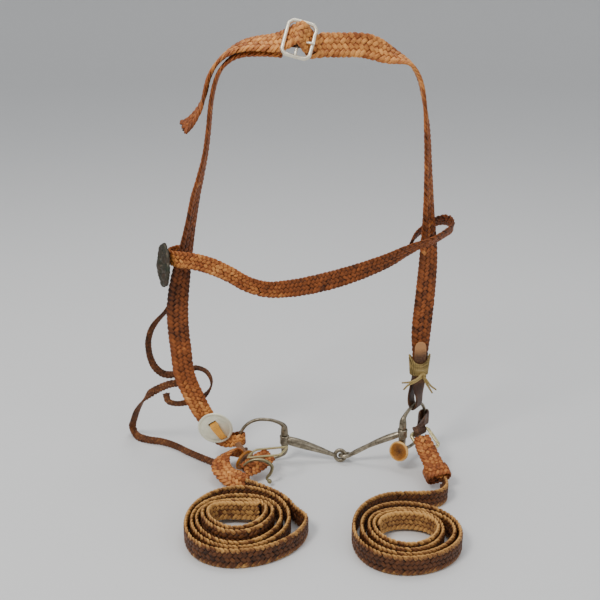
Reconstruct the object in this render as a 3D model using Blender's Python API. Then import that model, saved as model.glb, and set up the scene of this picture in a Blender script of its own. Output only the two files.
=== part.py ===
"""Plaited leather snaffle bridle with its reins coiled, as it rests over a stand.

The frame's origin is on the lower edge of the crown strap, where a stand, a peg or a horse's poll
carries the bridle. +Z is up, -Y is the side that the browband hangs on, +X is the side whose cheek
is bound with twine. Lengths in this file are in millimetres and become metres in the mesh helpers.
"""

import math

import bmesh
import bpy
import numpy as np
from mathutils import Vector

MM = 0.001
GAP = 0.35  # running room between touching pieces

# Straps
STRAP_W = 22.5
STRAP_T = 4.0
REIN_W = 21.0
REIN_T = 4.6
THONG_W = 8.8
THONG_T = 2.4
FLOOR = -429.0  # the surface that the reins and the bit lie on, below the crown

# Bit: a jointed snaffle, 5 inch mouthpiece, egg-shaped cheeks
RING_R = 24.5
RING_WIRE = 1.8
PIN_HALF = 16.5
SHOULDER_R = 3.7
SLEEVE_HALF = 5.0
SLEEVE_R = 5.2
CANNON_R = 5.2
CANNON_TIP_R = 2.6
EYE_R = 5.6
EYE_WIRE = 2.1
LEFT_PIN = (-47.0, -7.0, -402.8)
RIGHT_PIN = (80.5, -19.0, -388.5)
LINK = (17.0, -9.5, -420.9)
RIGHT_RING_TURN = math.radians(53)

# Crown buckle, a frame with a centre bar that the chape wraps
BUCKLE_CENTRE = (-30.8, -6.5, 16.5)
BUCKLE_HALF_W = 13.3
BUCKLE_HALF_H = 16.4
BUCKLE_CORNER = 6.0
BUCKLE_WIRE = 1.75
CENTRE_BAR = 1.3
BUCKLE_LEAN = math.radians(15)
BUCKLE_TILT = math.radians(20)

# Coils: centre and radii of the outside and of the hole, in the plane of the surface they lie on
LEFT_COIL = ((-89.0, -142.6), (51.3, 54.2), (-86.5, -149.0), (30.0, 22.0))
RIGHT_COIL = ((69.0, -162.8), (49.5, 43.6), (71.0, -162.0), (29.0, 29.0))

LEATHER = (0.45, 0.17, 0.07)
DARK_LEATHER = (0.05, 0.02, 0.015)
TAN_LEATHER = (0.55, 0.24, 0.06)
NICKEL = (0.75, 0.72, 0.62)
STEEL = (0.42, 0.38, 0.31)
BRONZE = (0.10, 0.08, 0.06)
TWINE = (0.70, 0.58, 0.38)


def clear_scene():
    for old in list(bpy.data.objects):
        bpy.data.objects.remove(old)


def material(name, colour, roughness=0.6, metallic=0.0):
    mat = bpy.data.materials.get(name)
    if mat is None:
        mat = bpy.data.materials.new(name)
        mat.use_nodes = True
        shader = mat.node_tree.nodes["Principled BSDF"]
        shader.inputs["Base Color"].default_value = (*colour, 1.0)
        shader.inputs["Roughness"].default_value = roughness
        shader.inputs["Metallic"].default_value = metallic
    return mat


def add_object(name, bm, mat, origin=None):
    """One object from a bmesh in millimetres, with its origin on its joint's axis where it has one."""
    bmesh.ops.recalc_face_normals(bm, faces=bm.faces)
    start = Vector(origin) if origin is not None else Vector((0, 0, 0))
    bmesh.ops.translate(bm, verts=bm.verts, vec=-start)
    bmesh.ops.scale(bm, verts=bm.verts, vec=(MM, MM, MM))
    mesh = bpy.data.meshes.new(name)
    bm.to_mesh(mesh)
    bm.free()
    mesh.materials.append(mat)
    mesh.shade_smooth()
    mesh.set_sharp_from_angle(angle=math.radians(40))
    obj = bpy.data.objects.new(name, mesh)
    obj.location = start * MM
    bpy.context.scene.collection.objects.link(obj)
    return obj


def helper(obj):
    obj.hide_render = True
    obj.display_type = "WIRE"
    return obj


def boolean(obj, tool, operation):
    modifier = obj.modifiers.new(operation.title(), "BOOLEAN")
    modifier.operation = operation
    modifier.solver = "EXACT"
    modifier.object = helper(tool)


def catmull(rows, per_span):
    """A smooth curve through the rows, which may carry more than a position."""
    rows = np.asarray(rows, float)
    padded = np.vstack([2 * rows[0] - rows[1], rows, 2 * rows[-1] - rows[-2]])
    out = []
    for i in range(len(rows) - 1):
        a, b, c, d = padded[i : i + 4]
        for k in range(per_span):
            t = k / per_span
            out.append(0.5 * (2 * b + (c - a) * t + (2 * a - 5 * b + 4 * c - d) * t**2
                              + (3 * b - a - 3 * c + d) * t**3))
    out.append(rows[-1])
    return np.array(out)


def unit(vectors):
    return vectors / np.linalg.norm(vectors, axis=-1, keepdims=True)


def skin(bm, rings, closed):
    """Faces between rings of points, with caps unless the rings close on themselves."""
    verts = [[bm.verts.new(p) for p in ring] for ring in rings]
    count = len(rings[0])
    pairs = list(zip(verts, verts[1:]))
    if closed:
        pairs.append((verts[-1], verts[0]))
    for one, two in pairs:
        for i in range(count):
            j = (i + 1) % count
            bm.faces.new((one[i], one[j], two[j], two[i]))
    if not closed:
        bm.faces.new(verts[0][::-1])
        bm.faces.new(verts[-1])
    bmesh.ops.triangulate(bm, faces=[f for f in bm.faces if len(f.verts) > 4])


def strap(name, rows, width, thick, mat, per_span=4, origin=None):
    """A flat strap. Each row is x, y, z, the direction across the strap, and a share of its width."""
    rows = [tuple(row) + (1.0,) if len(row) == 6 else tuple(row) for row in rows]
    data = catmull(rows, per_span)
    centre = data[:, :3]
    along = unit(np.gradient(centre, axis=0))
    across = data[:, 3:6] - along * (data[:, 3:6] * along).sum(axis=1)[:, None]
    across = unit(across)
    out = np.cross(along, across)
    half = across * (data[:, 6:7] * width / 2)
    lift = out * thick / 2
    rings = [[c - h - n, c + h - n, c + h + n, c - h + n] for c, h, n in zip(centre, half, lift)]
    bm = bmesh.new()
    skin(bm, rings, False)
    return add_object(name, bm, mat, origin)


def tube(name, points, radii, mat, sides=10, closed=False, origin=None):
    """A round bar along points, whose radius may change along it."""
    pts = np.asarray(points, float)
    radii = np.broadcast_to(np.asarray(radii, float), len(pts))
    if closed:
        along = unit(np.roll(pts, -1, axis=0) - np.roll(pts, 1, axis=0))
    else:
        along = unit(np.gradient(pts, axis=0))
    seed = Vector(along[0]).orthogonal().normalized()
    rings = []
    for p, t, r in zip(pts, along, radii):
        axis = Vector(t)
        seed = (seed - axis * seed.dot(axis)).normalized()
        other = axis.cross(seed)
        ring = []
        for i in range(sides):
            angle = 2 * math.pi * i / sides
            offset = seed * math.cos(angle) + other * math.sin(angle)
            ring.append(Vector(p) + offset * float(r))
        rings.append(ring)
    bm = bmesh.new()
    skin(bm, rings, closed)
    return add_object(name, bm, mat, origin)


def basis(axis):
    """Two directions square to an axis."""
    axis = Vector(axis).normalized()
    first = axis.orthogonal().normalized()
    return first, axis.cross(first), axis


def turned(name, profile, centre, axis, mat, steps=28, origin=None):
    """A turned piece from an outline of radius and height. One that starts and ends on the axis is
    solid there; any other closes on itself, as a ring does."""
    first, second, axis = basis(axis)
    rings = []
    for radius, height in profile:
        ring = []
        for i in range(steps):
            angle = 2 * math.pi * i / steps
            side = first * math.cos(angle) + second * math.sin(angle)
            ring.append(Vector(centre) + side * radius + axis * height)
        rings.append(ring)
    bm = bmesh.new()
    skin(bm, rings, profile[0][0] > 0)
    for poly in [f for f in bm.faces if f.calc_area() < 1e-9]:
        bm.faces.remove(poly)
    bmesh.ops.remove_doubles(bm, verts=bm.verts, dist=1e-5)
    return add_object(name, bm, mat, origin)


def arc(centre, first, second, radius, start, end, count):
    """Points on an arc in the plane of two directions. Angles are in degrees."""
    centre, first, second = Vector(centre), Vector(first), Vector(second)
    points = []
    for angle in np.radians(np.linspace(start, end, count)):
        points.append(centre + first * radius * math.cos(angle) + second * radius * math.sin(angle))
    return points


def rounded_frame(half_w, half_h, corner, per_corner=5):
    """Points round a frame with rounded corners, in its own plane."""
    points = []
    for k, (sx, sy) in enumerate(((1, 1), (-1, 1), (-1, -1), (1, -1))):
        for i in range(per_corner):
            angle = math.radians(90 * k + 90 * i / (per_corner - 1))
            u = sx * (half_w - corner) + corner * math.cos(angle)
            v = sy * (half_h - corner) + corner * math.sin(angle)
            points.append((u, v))
    return points


class Plane:
    """A local plane: u to its right, v up it, n out of its front."""

    def __init__(self, centre, u, v):
        self.centre = Vector(centre)
        self.u = Vector(u).normalized()
        self.v = (Vector(v) - self.u * Vector(v).dot(self.u)).normalized()
        self.n = self.u.cross(self.v)

    def at(self, u, v, n=0.0):
        return self.centre + self.u * u + self.v * v + self.n * n


def crown_plane():
    up = Vector((0, math.sin(BUCKLE_TILT), math.cos(BUCKLE_TILT)))
    side = Vector((1, 0, 0))
    u = side * math.cos(BUCKLE_LEAN) - up * math.sin(BUCKLE_LEAN)
    v = side * math.sin(BUCKLE_LEAN) + up * math.cos(BUCKLE_LEAN)
    return Plane(BUCKLE_CENTRE, u, v)


def buckle(name, plane, half_w, half_h, corner, wire, bar, mat, grow=0.0):
    """A buckle frame with a bar across its middle."""
    outline = [plane.at(u, v) for u, v in rounded_frame(half_w, half_h, corner)]
    frame = tube(name, outline, wire + grow, mat, 8, closed=True)
    ends = [plane.at(0, -half_h), plane.at(0, half_h)]
    centre_bar = tube(name + "_bar", ends, bar + grow, mat, 8)
    boolean(frame, centre_bar, "UNION")
    return frame


def box_tool(name, plane, low, high, mat):
    bm = bmesh.new()
    corners = []
    for u in (low[0], high[0]):
        ring = [plane.at(u, v, n) for v, n in ((low[1], low[2]), (high[1], low[2]),
                                               (high[1], high[2]), (low[1], high[2]))]
        corners.append(ring)
    skin(bm, corners, False)
    return add_object(name, bm, mat)


def crown():
    leather = material("plaited_leather", LEATHER)
    nickel = material("nickel", NICKEL, 0.3, 1.0)
    plane = crown_plane()
    buckle("crown_buckle_frame", plane, BUCKLE_HALF_W, BUCKLE_HALF_H, BUCKLE_CORNER,
           BUCKLE_WIRE, CENTRE_BAR, nickel)
    tongue_v = -1.5
    hook = arc(plane.at(0, tongue_v), plane.u, plane.n, 2.8, 150, 320, 8)
    prong = [plane.at(u, tongue_v, n) for u, n in ((4.6, -0.6), (8, 1.6), (11.5, 3.0), (15.5, 3.2))]
    tube("crown_buckle_tongue", hook + prong, [1.0] * 11 + [0.7], nickel, 8,
         origin=plane.at(0, tongue_v))
    rows = [tuple(plane.at(u, 0, n)) + tuple(plane.v) for u, n in
            ((-10, -7.4), (-6, -5.2), (-2.6, -3.0), (0.5, -2.4), (2.25, -0.85),
             (2.25, 0.95), (0.8, 2.25), (-0.95, 2.15), (-2.1, 0.95))]
    chape = strap("crown_chape", rows, 15.0, 1.2, leather, 3)
    boolean(chape, box_tool("chape_slot", plane, (-4.4, tongue_v - 2.2, -4.5), (12, tongue_v + 2.2, 6),
                            leather), "DIFFERENCE")
    return plane, tongue_v


def right_headstall(plane, tongue_v):
    """The long strap: its tip hangs on the left, it runs through the crown buckle, then down the
    right cheek. Its lower edge is flat at the origin, where the bridle hangs."""
    leather = material("plaited_leather", LEATHER)
    half = STRAP_W / 2
    over = plane.at(0, 4.4, 6.8)
    left = plane.at(-13.3, -1.8, -5.8)
    right = plane.at(13.3, -1.2, -6.0)
    lean = tuple(plane.v)
    rows = [
        (-145.5, 13, -67.5, -0.45, 0.8, 0.4),
        (-137.5, 13, -61.5, -0.3, 0.9, 0.25),
        (-128.2, 13, -48.5, -0.2, 0.97, 0.1),
        (-122.8, 13, -35.0, 0, 1, 0),
        (-118.5, 13, -20.0, 0, 1, 0),
        (-110.5, 12.5, -6.5, 0, 1, 0.05),
        (-98.5, 11.5, 4.0, 0, 0.97, 0.2),
        (-85.0, 10, 10.2, 0, 0.9, 0.4),
        (-70.0, 8, 12.6, 0, 0.82, 0.57),
        (-56.0, 5.5, 13.2, 0, 0.7, 0.7),
        (*left, 0.1, 0.5, 0.85),
        (*plane.at(-6.4, 2.4, 0.4), *lean),
        (*over, *lean),
        (*plane.at(6.6, 2.0, 0.4), *lean),
        (*right, 0.05, 0.12, 1),
        (-10.0, 0, half, 0, 0, 1),
        (-3.0, 0, half, 0, 0, 1),
        (12.0, 0, half, 0, 0, 1),
        (26.0, 0, half, 0, 0, 1),
        (38.0, 1.5, half - 2.2, 0, 0.12, 1),
        (50.0, 4.5, 4.6, 0.1, 0.5, 0.85),
        (62.0, 9, 0.5, 0.05, 0.85, 0.5),
        (75.5, 12, -5.6, 0, 1, 0.12),
        (85.2, 13, -19.0, 0, 1, 0),
        (90.8, 12.5, -38.5, 0.05, 1, 0),
        (95.4, 11, -69.5, 0.3, 0.95, 0),
        (98.4, 8, -113.0, 0.42, 0.9, 0),
        (100.4, 4, -157.0, 0.62, 0.78, 0),
        (101.6, 1, -196.5, 0.88, 0.47, 0),
        (100.2, 0, -237.0, 0.95, 0.3, 0),
        (98.0, -0.5, -277.0, 0.97, 0.2, 0, 0.96),
        (98.0, -0.8, -304.0, 1, 0.1, 0, 0.76),
        (97.6, -0.8, -327.0, 1, 0, 0, 0.62),
    ]
    long_strap = strap("right_headstall_strap", rows, STRAP_W, STRAP_T, leather, 3)
    slot = box_tool("tongue_slot", plane, (-4.6, tongue_v - 1.9, -5.0), (12.2, tongue_v + 1.9, 4.2),
                    leather)
    boolean(long_strap, slot, "DIFFERENCE")


def left_headstall():
    """From the buckle's chape over the left corner, under the other strap's tip, to the silver
    button above the left ring."""
    leather = material("plaited_leather", LEATHER)
    rows = [
        (-46.5, 8.6, 6.6, 0, 0.8, 0.6),
        (-57.0, 9.4, 7.2, 0, 0.82, 0.57),
        (-71.0, 11.0, 7.2, 0, 0.84, 0.54),
        (-84.0, 12.5, 4.8, 0, 0.92, 0.38),
        (-95.5, 13.2, -1.2, 0, 0.98, 0.16),
        (-106.0, 13.6, -11.2, 0, 1, 0.03),
        (-112.5, 14.5, -24.5, 0, 1, 0),
        (-117.6, 17.0, -45.0, 0, 1, 0),
        (-121.0, 20.0, -69.0, 0.03, 1, 0),
        (-125.4, 21.0, -95.0, 0.08, 1, 0),
        (-131.5, 19.5, -119.0, 0.2, 0.98, 0),
        (-136.8, 18.0, -138.0, 0.3, 0.95, 0),
        (-142.1, 15.5, -163.5, 0.36, 0.93, 0),
        (-146.6, 12.0, -185.0, 0.5, 0.87, 0),
        (-152.4, 8.0, -211.0, 0.75, 0.66, 0),
        (-157.0, 4.0, -238.0, 0.93, 0.36, 0),
        (-158.8, 1.0, -266.0, 1, 0.1, 0),
        (-157.0, -1.0, -293.5, 1, 0.05, 0.05),
        (-153.0, -3.0, -330.0, 0.98, 0, 0.2),
        (-137.6, -5.5, -367.0, 0.86, 0, 0.5, 0.96),
        (-125.6, -6.4, -386.0, 0.8, 0, 0.6, 0.84),
    ]
    strap("left_headstall_strap", rows, STRAP_W, STRAP_T, leather, 3)


def browband():
    """A plaited band whose two ends wrap the cheeks as open loops, so that it slides on them."""
    leather = material("plaited_leather", LEATHER)
    up = (0, 0.1, 1)
    rows = [
        (-129.5, 22.0, -196.0, *up, 0.7),
        (-143.0, 23.8, -196.5, *up, 0.75),
        (-159.0, 18.6, -197.0, *up, 0.8),
        (-165.2, 8.6, -197.5, *up, 0.85),
        (-160.5, -3.2, -197.0, -0.05, -0.1, 1, 0.9),
        (-150.5, -7.6, -197.4, 0.05, -0.1, 1, 0.93),
        (-138.5, -8.2, -198.8, 0.1, -0.1, 1, 0.95),
        (-121.0, -8.0, -203.8, 0.2, -0.2, 1),
        (-101.5, -8.0, -213.0, 0.3, -0.3, 0.95),
        (-83.5, -9.5, -223.0, 0.25, -0.3, 0.95),
        (-63.0, -10.5, -228.2, 0.1, -0.25, 1),
        (-41.5, -11.0, -227.0, -0.1, -0.1, 1),
        (-20.0, -11.5, -223.2, -0.15, 0, 1),
        (2.0, -12.0, -217.5, -0.2, 0.0, 1),
        (24.0, -12.5, -210.5, -0.25, -0.15, 0.95),
        (46.0, -13.2, -201.8, -0.3, -0.35, 0.87),
        (60.5, -14.5, -194.8, -0.3, -0.5, 0.8),
        (74.2, -15.5, -186.8, -0.3, -0.66, 0.68),
        (88.5, -17.0, -179.4, -0.31, -0.77, 0.56, 0.95),
        (101.8, -17.0, -174.7, -0.28, -0.81, 0.52, 0.92),
        (114.6, -11.5, -168.9, -0.21, -0.82, 0.53, 0.9),
        (123.5, -1.4, -164.9, -0.1, -0.79, 0.61, 0.86),
        (123.2, 9.9, -161.9, 0.05, -0.73, 0.68, 0.82),
        (116.9, 17.6, -162.2, 0.05, -0.67, 0.74, 0.8),
        (107.7, 21.0, -166.0, 0, -0.64, 0.77, 0.75),
        (97.0, 18.8, -172.0, 0, -0.62, 0.78, 0.7),
        (88.0, 9.5, -177.0, 0.11, -0.53, 0.84, 0.6),
        (82.8, -3.5, -181.0, 0.32, -0.32, 0.89, 0.5),
    ]
    strap("browband_strap", rows, STRAP_W * 0.87, 3.0, leather, 3)


def rosette():
    """A cast boss on the outside of the left browband loop, on a stud that goes through it."""
    bronze = material("old_bronze", BRONZE, 0.5, 0.9)
    axis = Vector((-0.93, -0.35, 0.08)).normalized()
    base = Vector((-168.4, 4.6, -206.5))
    profile = [(0, 0), (22, 0), (23, 1.6), (21, 4.4), (14, 7.0), (8, 8.0), (5, 10.6), (0, 11.6)]
    turned("rosette", profile, base, axis, bronze, 24, origin=base)


def concho():
    """A slotted silver button whose leather tie holds the strap's fold shut."""
    silver = material("silver", NICKEL, 0.35, 1.0)
    tan = material("tan_leather", TAN_LEATHER)
    plane = Plane((-121.9, -13.4, -386.2), (0.97, -0.05, -0.2), (0.15, -0.12, 0.98))
    profile = [(0, -0.9), (17.6, -1.9), (19.0, -1.6), (19.2, -0.9), (17.6, -0.2), (9, 0.9), (0, 1.2)]
    disc = turned("left_concho", profile, plane.centre, plane.n, silver, 32, origin=plane.centre)
    along = (plane.u * 0.72 - plane.v * 0.70).normalized()
    across = plane.n.cross(along)
    slots = Plane(plane.centre, along, across)
    for k, u in enumerate((-6.5, 13.0)):
        boolean(disc, box_tool(f"concho_slot_{k}", slots, (u - 1.9, -4.9, -6), (u + 1.9, 4.9, 6), tan),
                "DIFFERENCE")
    rows = [(*slots.at(u, v, n), *across) for u, v, n in
            ((-6.8, 0, -2.2), (-6.5, 0, 0.2), (-3.6, 0, 2.6), (2.0, 0, 3.3),
             (8.0, 0, 3.2), (12.0, 0, 2.4), (13.0, 0, 0.2), (13.3, 0, -2.2))]
    strap("concho_tie", rows, 8.0, 1.5, tan, 3, origin=plane.centre)


def ring_path(pin, toward):
    """The egg-shaped cheek: a round wire with a straight pin on the mouthpiece's side and a thick
    shoulder at both ends of the pin. Returns the points and the radius at each."""
    pin = Vector(pin)
    toward = Vector(toward)
    up = Vector((0, 0, 1))
    points = []
    radii = []
    inner = SLEEVE_HALF + 0.45
    for height, radius in ((-PIN_HALF, SHOULDER_R * 0.8), (-PIN_HALF + 3, SHOULDER_R),
                           (-inner - 0.1, SHOULDER_R), (-inner, RING_WIRE), (inner, RING_WIRE),
                           (inner + 0.1, SHOULDER_R), (PIN_HALF - 3, SHOULDER_R),
                           (PIN_HALF, SHOULDER_R * 0.8)):
        points.append(pin + up * height)
        radii.append(radius)
    corner = catmull(((0, PIN_HALF), (1.8, 19.8), (6.5, 22.6), (14.5, 24.2), (RING_R, RING_R)), 3)[2:-1]
    for a, b in corner:
        points.append(pin + toward * a + up * b)
        radii.append(RING_WIRE)
    for point in arc(pin + toward * RING_R, toward, up, RING_R, 90, -90, 19):
        points.append(point)
        radii.append(RING_WIRE)
    for a, b in corner[::-1]:
        points.append(pin + toward * a - up * b)
        radii.append(RING_WIRE)
    return points, radii


def cannon(name, pin, eye_at, chord, eye_plane, mat):
    """Half of the mouthpiece: a sleeve on the cheek's pin, a tapered bar and the eye of the joint."""
    pin = Vector(pin)
    root = eye_at - chord * EYE_R
    along = (root - pin).normalized()
    bore = RING_WIRE + 0.45
    profile = [(bore, -SLEEVE_HALF), (SLEEVE_R, -SLEEVE_HALF), (SLEEVE_R, SLEEVE_HALF),
               (bore, SLEEVE_HALF)]
    sleeve = turned(name, profile, pin, (0, 0, 1), mat, 20, origin=pin)
    length = (root - pin).length
    stops = ((3.6, CANNON_R * 0.45), (7.0, CANNON_R * 0.68), (14, CANNON_R * 0.95),
             (24, CANNON_R * 0.92), (42, CANNON_R * 0.66), (length - 6, CANNON_TIP_R),
             (length, CANNON_TIP_R * 0.88))
    bar = tube(name + "_bar", [pin + along * s for s, _ in stops], [r for _, r in stops], mat, 12)
    side = (eye_plane - chord * eye_plane.dot(chord)).normalized()
    ring = arc(eye_at, chord, side, EYE_R, 0, 360, 21)[:-1]
    eye = tube(name + "_eye", ring, EYE_WIRE, mat, 8, closed=True)
    boolean(sleeve, bar, "UNION")
    boolean(sleeve, eye, "UNION")
    return sleeve


def bit():
    steel = material("worn_steel", STEEL, 0.35, 1.0)
    points, radii = ring_path(LEFT_PIN, (-1, 0, 0))
    tube("left_ring", points, radii, steel, 10, closed=True)
    turn = Vector((math.cos(RIGHT_RING_TURN), math.sin(RIGHT_RING_TURN), 0))
    points, radii = ring_path(RIGHT_PIN, turn)
    tube("right_ring", points, radii, steel, 10, closed=True)
    link = Vector(LINK)
    left_along = (link - Vector(LEFT_PIN)).normalized()
    right_along = (Vector(RIGHT_PIN) - link).normalized()
    chord = (left_along + right_along).normalized()
    slack = EYE_R / 2 - 0.1
    cannon("left_cannon", LEFT_PIN, link - chord * slack, chord, Vector((0, 0.25, 1)), steel)
    cannon("right_cannon", RIGHT_PIN, link + chord * slack, -chord, Vector((0, 1, -0.25)), steel)


def left_bit_end():
    """The strap's turned end, which holds the left ring's outer wire."""
    leather = material("plaited_leather", LEATHER)
    wire = (-47.0 - 2 * RING_R, -7.0)
    rows = [
        (-121.0, -8.0, -400.0, 0.25, 0, 1),
        (-110.0, -8.9, -404.4, 0.1, 0, 1),
        (wire[0] - 4.5, wire[1] - 3.8, -402.6, -0.1, 0, 1),
        (wire[0] + 1.6, wire[1] - 4.2, -401.5, -0.05, 0, 1),
        (wire[0] + 5.3, wire[1], -401.5, 0, 0, 1),
        (wire[0] + 1.6, wire[1] + 4.2, -401.5, 0.05, 0, 1),
        (wire[0] - 4.5, wire[1] + 3.8, -402.6, 0.1, 0, 1),
        (-110.0, -3.2, -404.2, 0.1, 0, 1),
        (-121.0, -2.8, -399.8, 0.25, 0, 1),
    ]
    strap("left_bit_loop", rows, 12.5, 2.6, leather, 4)


def right_bit_end():
    """A leather tab doubled round the right ring's top wire and bound to the strap with twine."""
    dark = material("dark_leather", DARK_LEATHER)
    twine = material("twine", TWINE)
    top = Vector(RIGHT_PIN) + Vector((math.cos(RIGHT_RING_TURN), math.sin(RIGHT_RING_TURN), 0)) * RING_R
    top += Vector((0, 0, RING_R))
    turn = (math.cos(RIGHT_RING_TURN), math.sin(RIGHT_RING_TURN), 0)
    out = Vector((turn[1], -turn[0], 0))
    rows = [
        (97.8, -5.6, -287.5, 1, 0.1, 0, 0.7),
        (98.2, -5.2, -300.0, 1, 0.05, 0, 0.85),
        (97.6, -4.9, -318.0, 1, 0.03, 0, 0.93),
        (97.4, -5.4, -334.0, 0.97, 0.22, 0, 0.95),
        (*(top + out * 4.9 + Vector((0, 0, 13))), *turn),
        (*(top + out * 4.3 + Vector((0, 0, 1.2))), *turn, 0.9),
        (*(top + Vector((0, 0, -4.2))), *turn, 0.85),
        (*(top - out * 4.3 + Vector((0, 0, 1.2))), *turn, 0.9),
        (*(top - out * 4.6 + Vector((0, 0, 13))), *turn),
        (97.2, 3.6, -334.0, 0.95, 0.3, 0),
        (97.6, 3.4, -324.0, 1, 0.05, 0, 0.95),
    ]
    strap("right_bit_tab", rows, 14.4, 2.2, dark, 4)
    profile = [(0.62, -10.5), (0.93, -12.0), (0.95, -11.5), (1.0, -6), (0.97, 0), (1.0, 6), (0.96, 9.5),
               (0.86, 10.2), (0.62, 8.8)]
    bm = bmesh.new()
    rings = []
    for share, height in profile:
        points = []
        for i in range(28):
            angle = 2 * math.pi * i / 28
            a = 12.6 * share if share > 0.7 else 10.3
            b = 10.0 * share if share > 0.7 else 7.7
            c = math.copysign(abs(math.cos(angle)) ** 0.7, math.cos(angle))
            d = math.copysign(abs(math.sin(angle)) ** 0.7, math.sin(angle))
            rise = 2.5 * math.cos(2 * angle) if height > 0 else 0.0
            points.append(Vector((97.5 + a * c, -1.0 + b * d, -316.5 + height + rise)))
        rings.append(points)
    skin(bm, rings, True)
    add_object("twine_binding", bm, twine)
    tails = {
        "twine_tail_left": ((97.5, -11.8, -328.5), (90.0, -13.0, -333.0), (84.0, -12.4, -336.5),
                            (77.5, -11.0, -337.2)),
        "twine_tail_right": ((101.5, -11.4, -329.0), (106.5, -12.4, -334.0), (110.5, -11.8, -340.5),
                             (116.5, -10.0, -345.5)),
    }
    for name, rows in tails.items():
        points = catmull(rows, 4)
        tube(name, points, np.linspace(1.5, 0.9, len(points)), twine, 8)


def thong():
    """The narrow plaited throat thong: a loop behind the left cheek, then down to the surface and
    under the left rein, with a second short end curled by the cheek."""
    leather = material("plaited_leather", LEATHER)
    rows = [
        (-160.0, 14.0, -243.0, 0.3, -0.3, 0.9),
        (-171.5, 13.0, -259.0, 0.75, 0.3, 0.6),
        (-186.5, 12.0, -276.0, 0.8, 0.5, 0.2),
        (-192.8, 11.5, -292.0, 0.75, 0.66, 0),
        (-193.0, 11.5, -308.0, 0.7, 0.7, 0),
        (-189.5, 12.0, -321.5, 0.8, 0.6, 0.2),
        (-182.5, 13.5, -331.5, 0.7, 0.5, 0.5),
        (-172.0, 15.5, -335.5, 0, 0.4, 0.9),
        (-158.0, 17.5, -332.0, -0.2, 0.5, 0.8),
        (-143.5, 18.5, -328.5, 0, 0.9, 0.3),
        (-132.0, 18.5, -334.0, 0.3, 0.95, 0),
        (-127.6, 18.0, -347.0, 0.1, 1, 0),
        (-134.5, 17.5, -360.5, -0.2, 0.9, 0.3),
        (-149.0, 16.0, -366.5, 0, 0.3, 0.95),
        (-163.0, 13.5, -369.5, 0, -0.3, 0.95),
        (-175.0, 11.5, -366.0, 0.3, -0.2, 0.9),
        (-177.5, 12.5, -356.5, 0.9, 0, 0.3),
    ]
    strap("throat_thong", rows, THONG_W, THONG_T, leather, 4)
    rows = [
        (-142.0, 8.5, -343.0, -0.3, 0.2, 0.9),
        (-157.0, 8.8, -342.4, -0.2, 0.1, 1),
        (-170.3, 9.5, -343.5, -0.3, 0, 0.95),
        (-186.2, 11.5, -350.7, -0.1, 0, 1),
        (-199.8, 16.5, -362.2, 0.4, 0.1, 0.85),
        (-213.4, 30.0, -383.8, 0.8, 0.3, 0.4),
        (-221.6, 43.0, -404.2, 0.85, 0.5, 0.1),
        (-226.3, 53.5, -418.0, 0.82, 0.55, -0.2),
        (-223.8, 51.5, -426.0, 0.75, 0.65, 0),
        (-216.4, 40.5, -426.0, 0.55, 0.65, 0.45),
        (-208.5, 33.5, -424.6, 0.1, 0.3, 0.95),
        (-200.0, 29.6, -424.1, 0, 0.15, 1),
        (-188.1, 26.3, -424.0, 0, 0.1, 1),
        (-171.8, 17.0, -424.0, 0, 0.1, 1),
        (-155.2, 3.0, -424.0, 0, 0.1, 1),
        (-139.4, -9.4, -424.0, 0, 0.1, 1),
        (-126.4, -18.6, -424.0, 0, 0.1, 1),
        (-119.5, -23.8, -424.0, 0, 0.1, 1),
    ]
    strap("thong_end", rows, THONG_W, THONG_T, leather, 4)


def dished_disc(name, centre, axis, radius, mat):
    """A thick leather disc, dished on its front."""
    profile = [(0, -1.2), (radius * 0.9, -1.2), (radius, 0), (radius, 1.6), (radius * 0.88, 2.4),
               (radius * 0.5, 1.0), (0, 0.4)]
    turned(name, profile, centre, axis, mat, 24, origin=centre)


def coil(name, shape, raised, mat):
    """One closed ring that holds the coil: upright turns of rein on the surface, the inner ones
    standing a little higher."""
    (ox, oy), (oa, ob), (ix, iy), (ia, ib) = shape
    steps = 40
    loops = []
    for cx, cy, a, b, z in ((ox, oy, oa, ob, FLOOR), (ox, oy, oa, ob, FLOOR + REIN_W),
                            ((ox + ix) / 2, (oy + iy) / 2, (oa + ia) / 2, (ob + ib) / 2,
                             FLOOR + REIN_W + raised * 0.7),
                            (ix, iy, ia, ib, FLOOR + REIN_W + raised), (ix, iy, ia, ib, FLOOR)):
        loop = []
        for i in range(steps):
            angle = 2 * math.pi * i / steps
            loop.append(Vector((cx + a * math.cos(angle), cy + b * math.sin(angle), z)))
        loops.append(loop)
    bm = bmesh.new()
    skin(bm, loops, True)
    return add_object(name, bm, mat)


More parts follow.
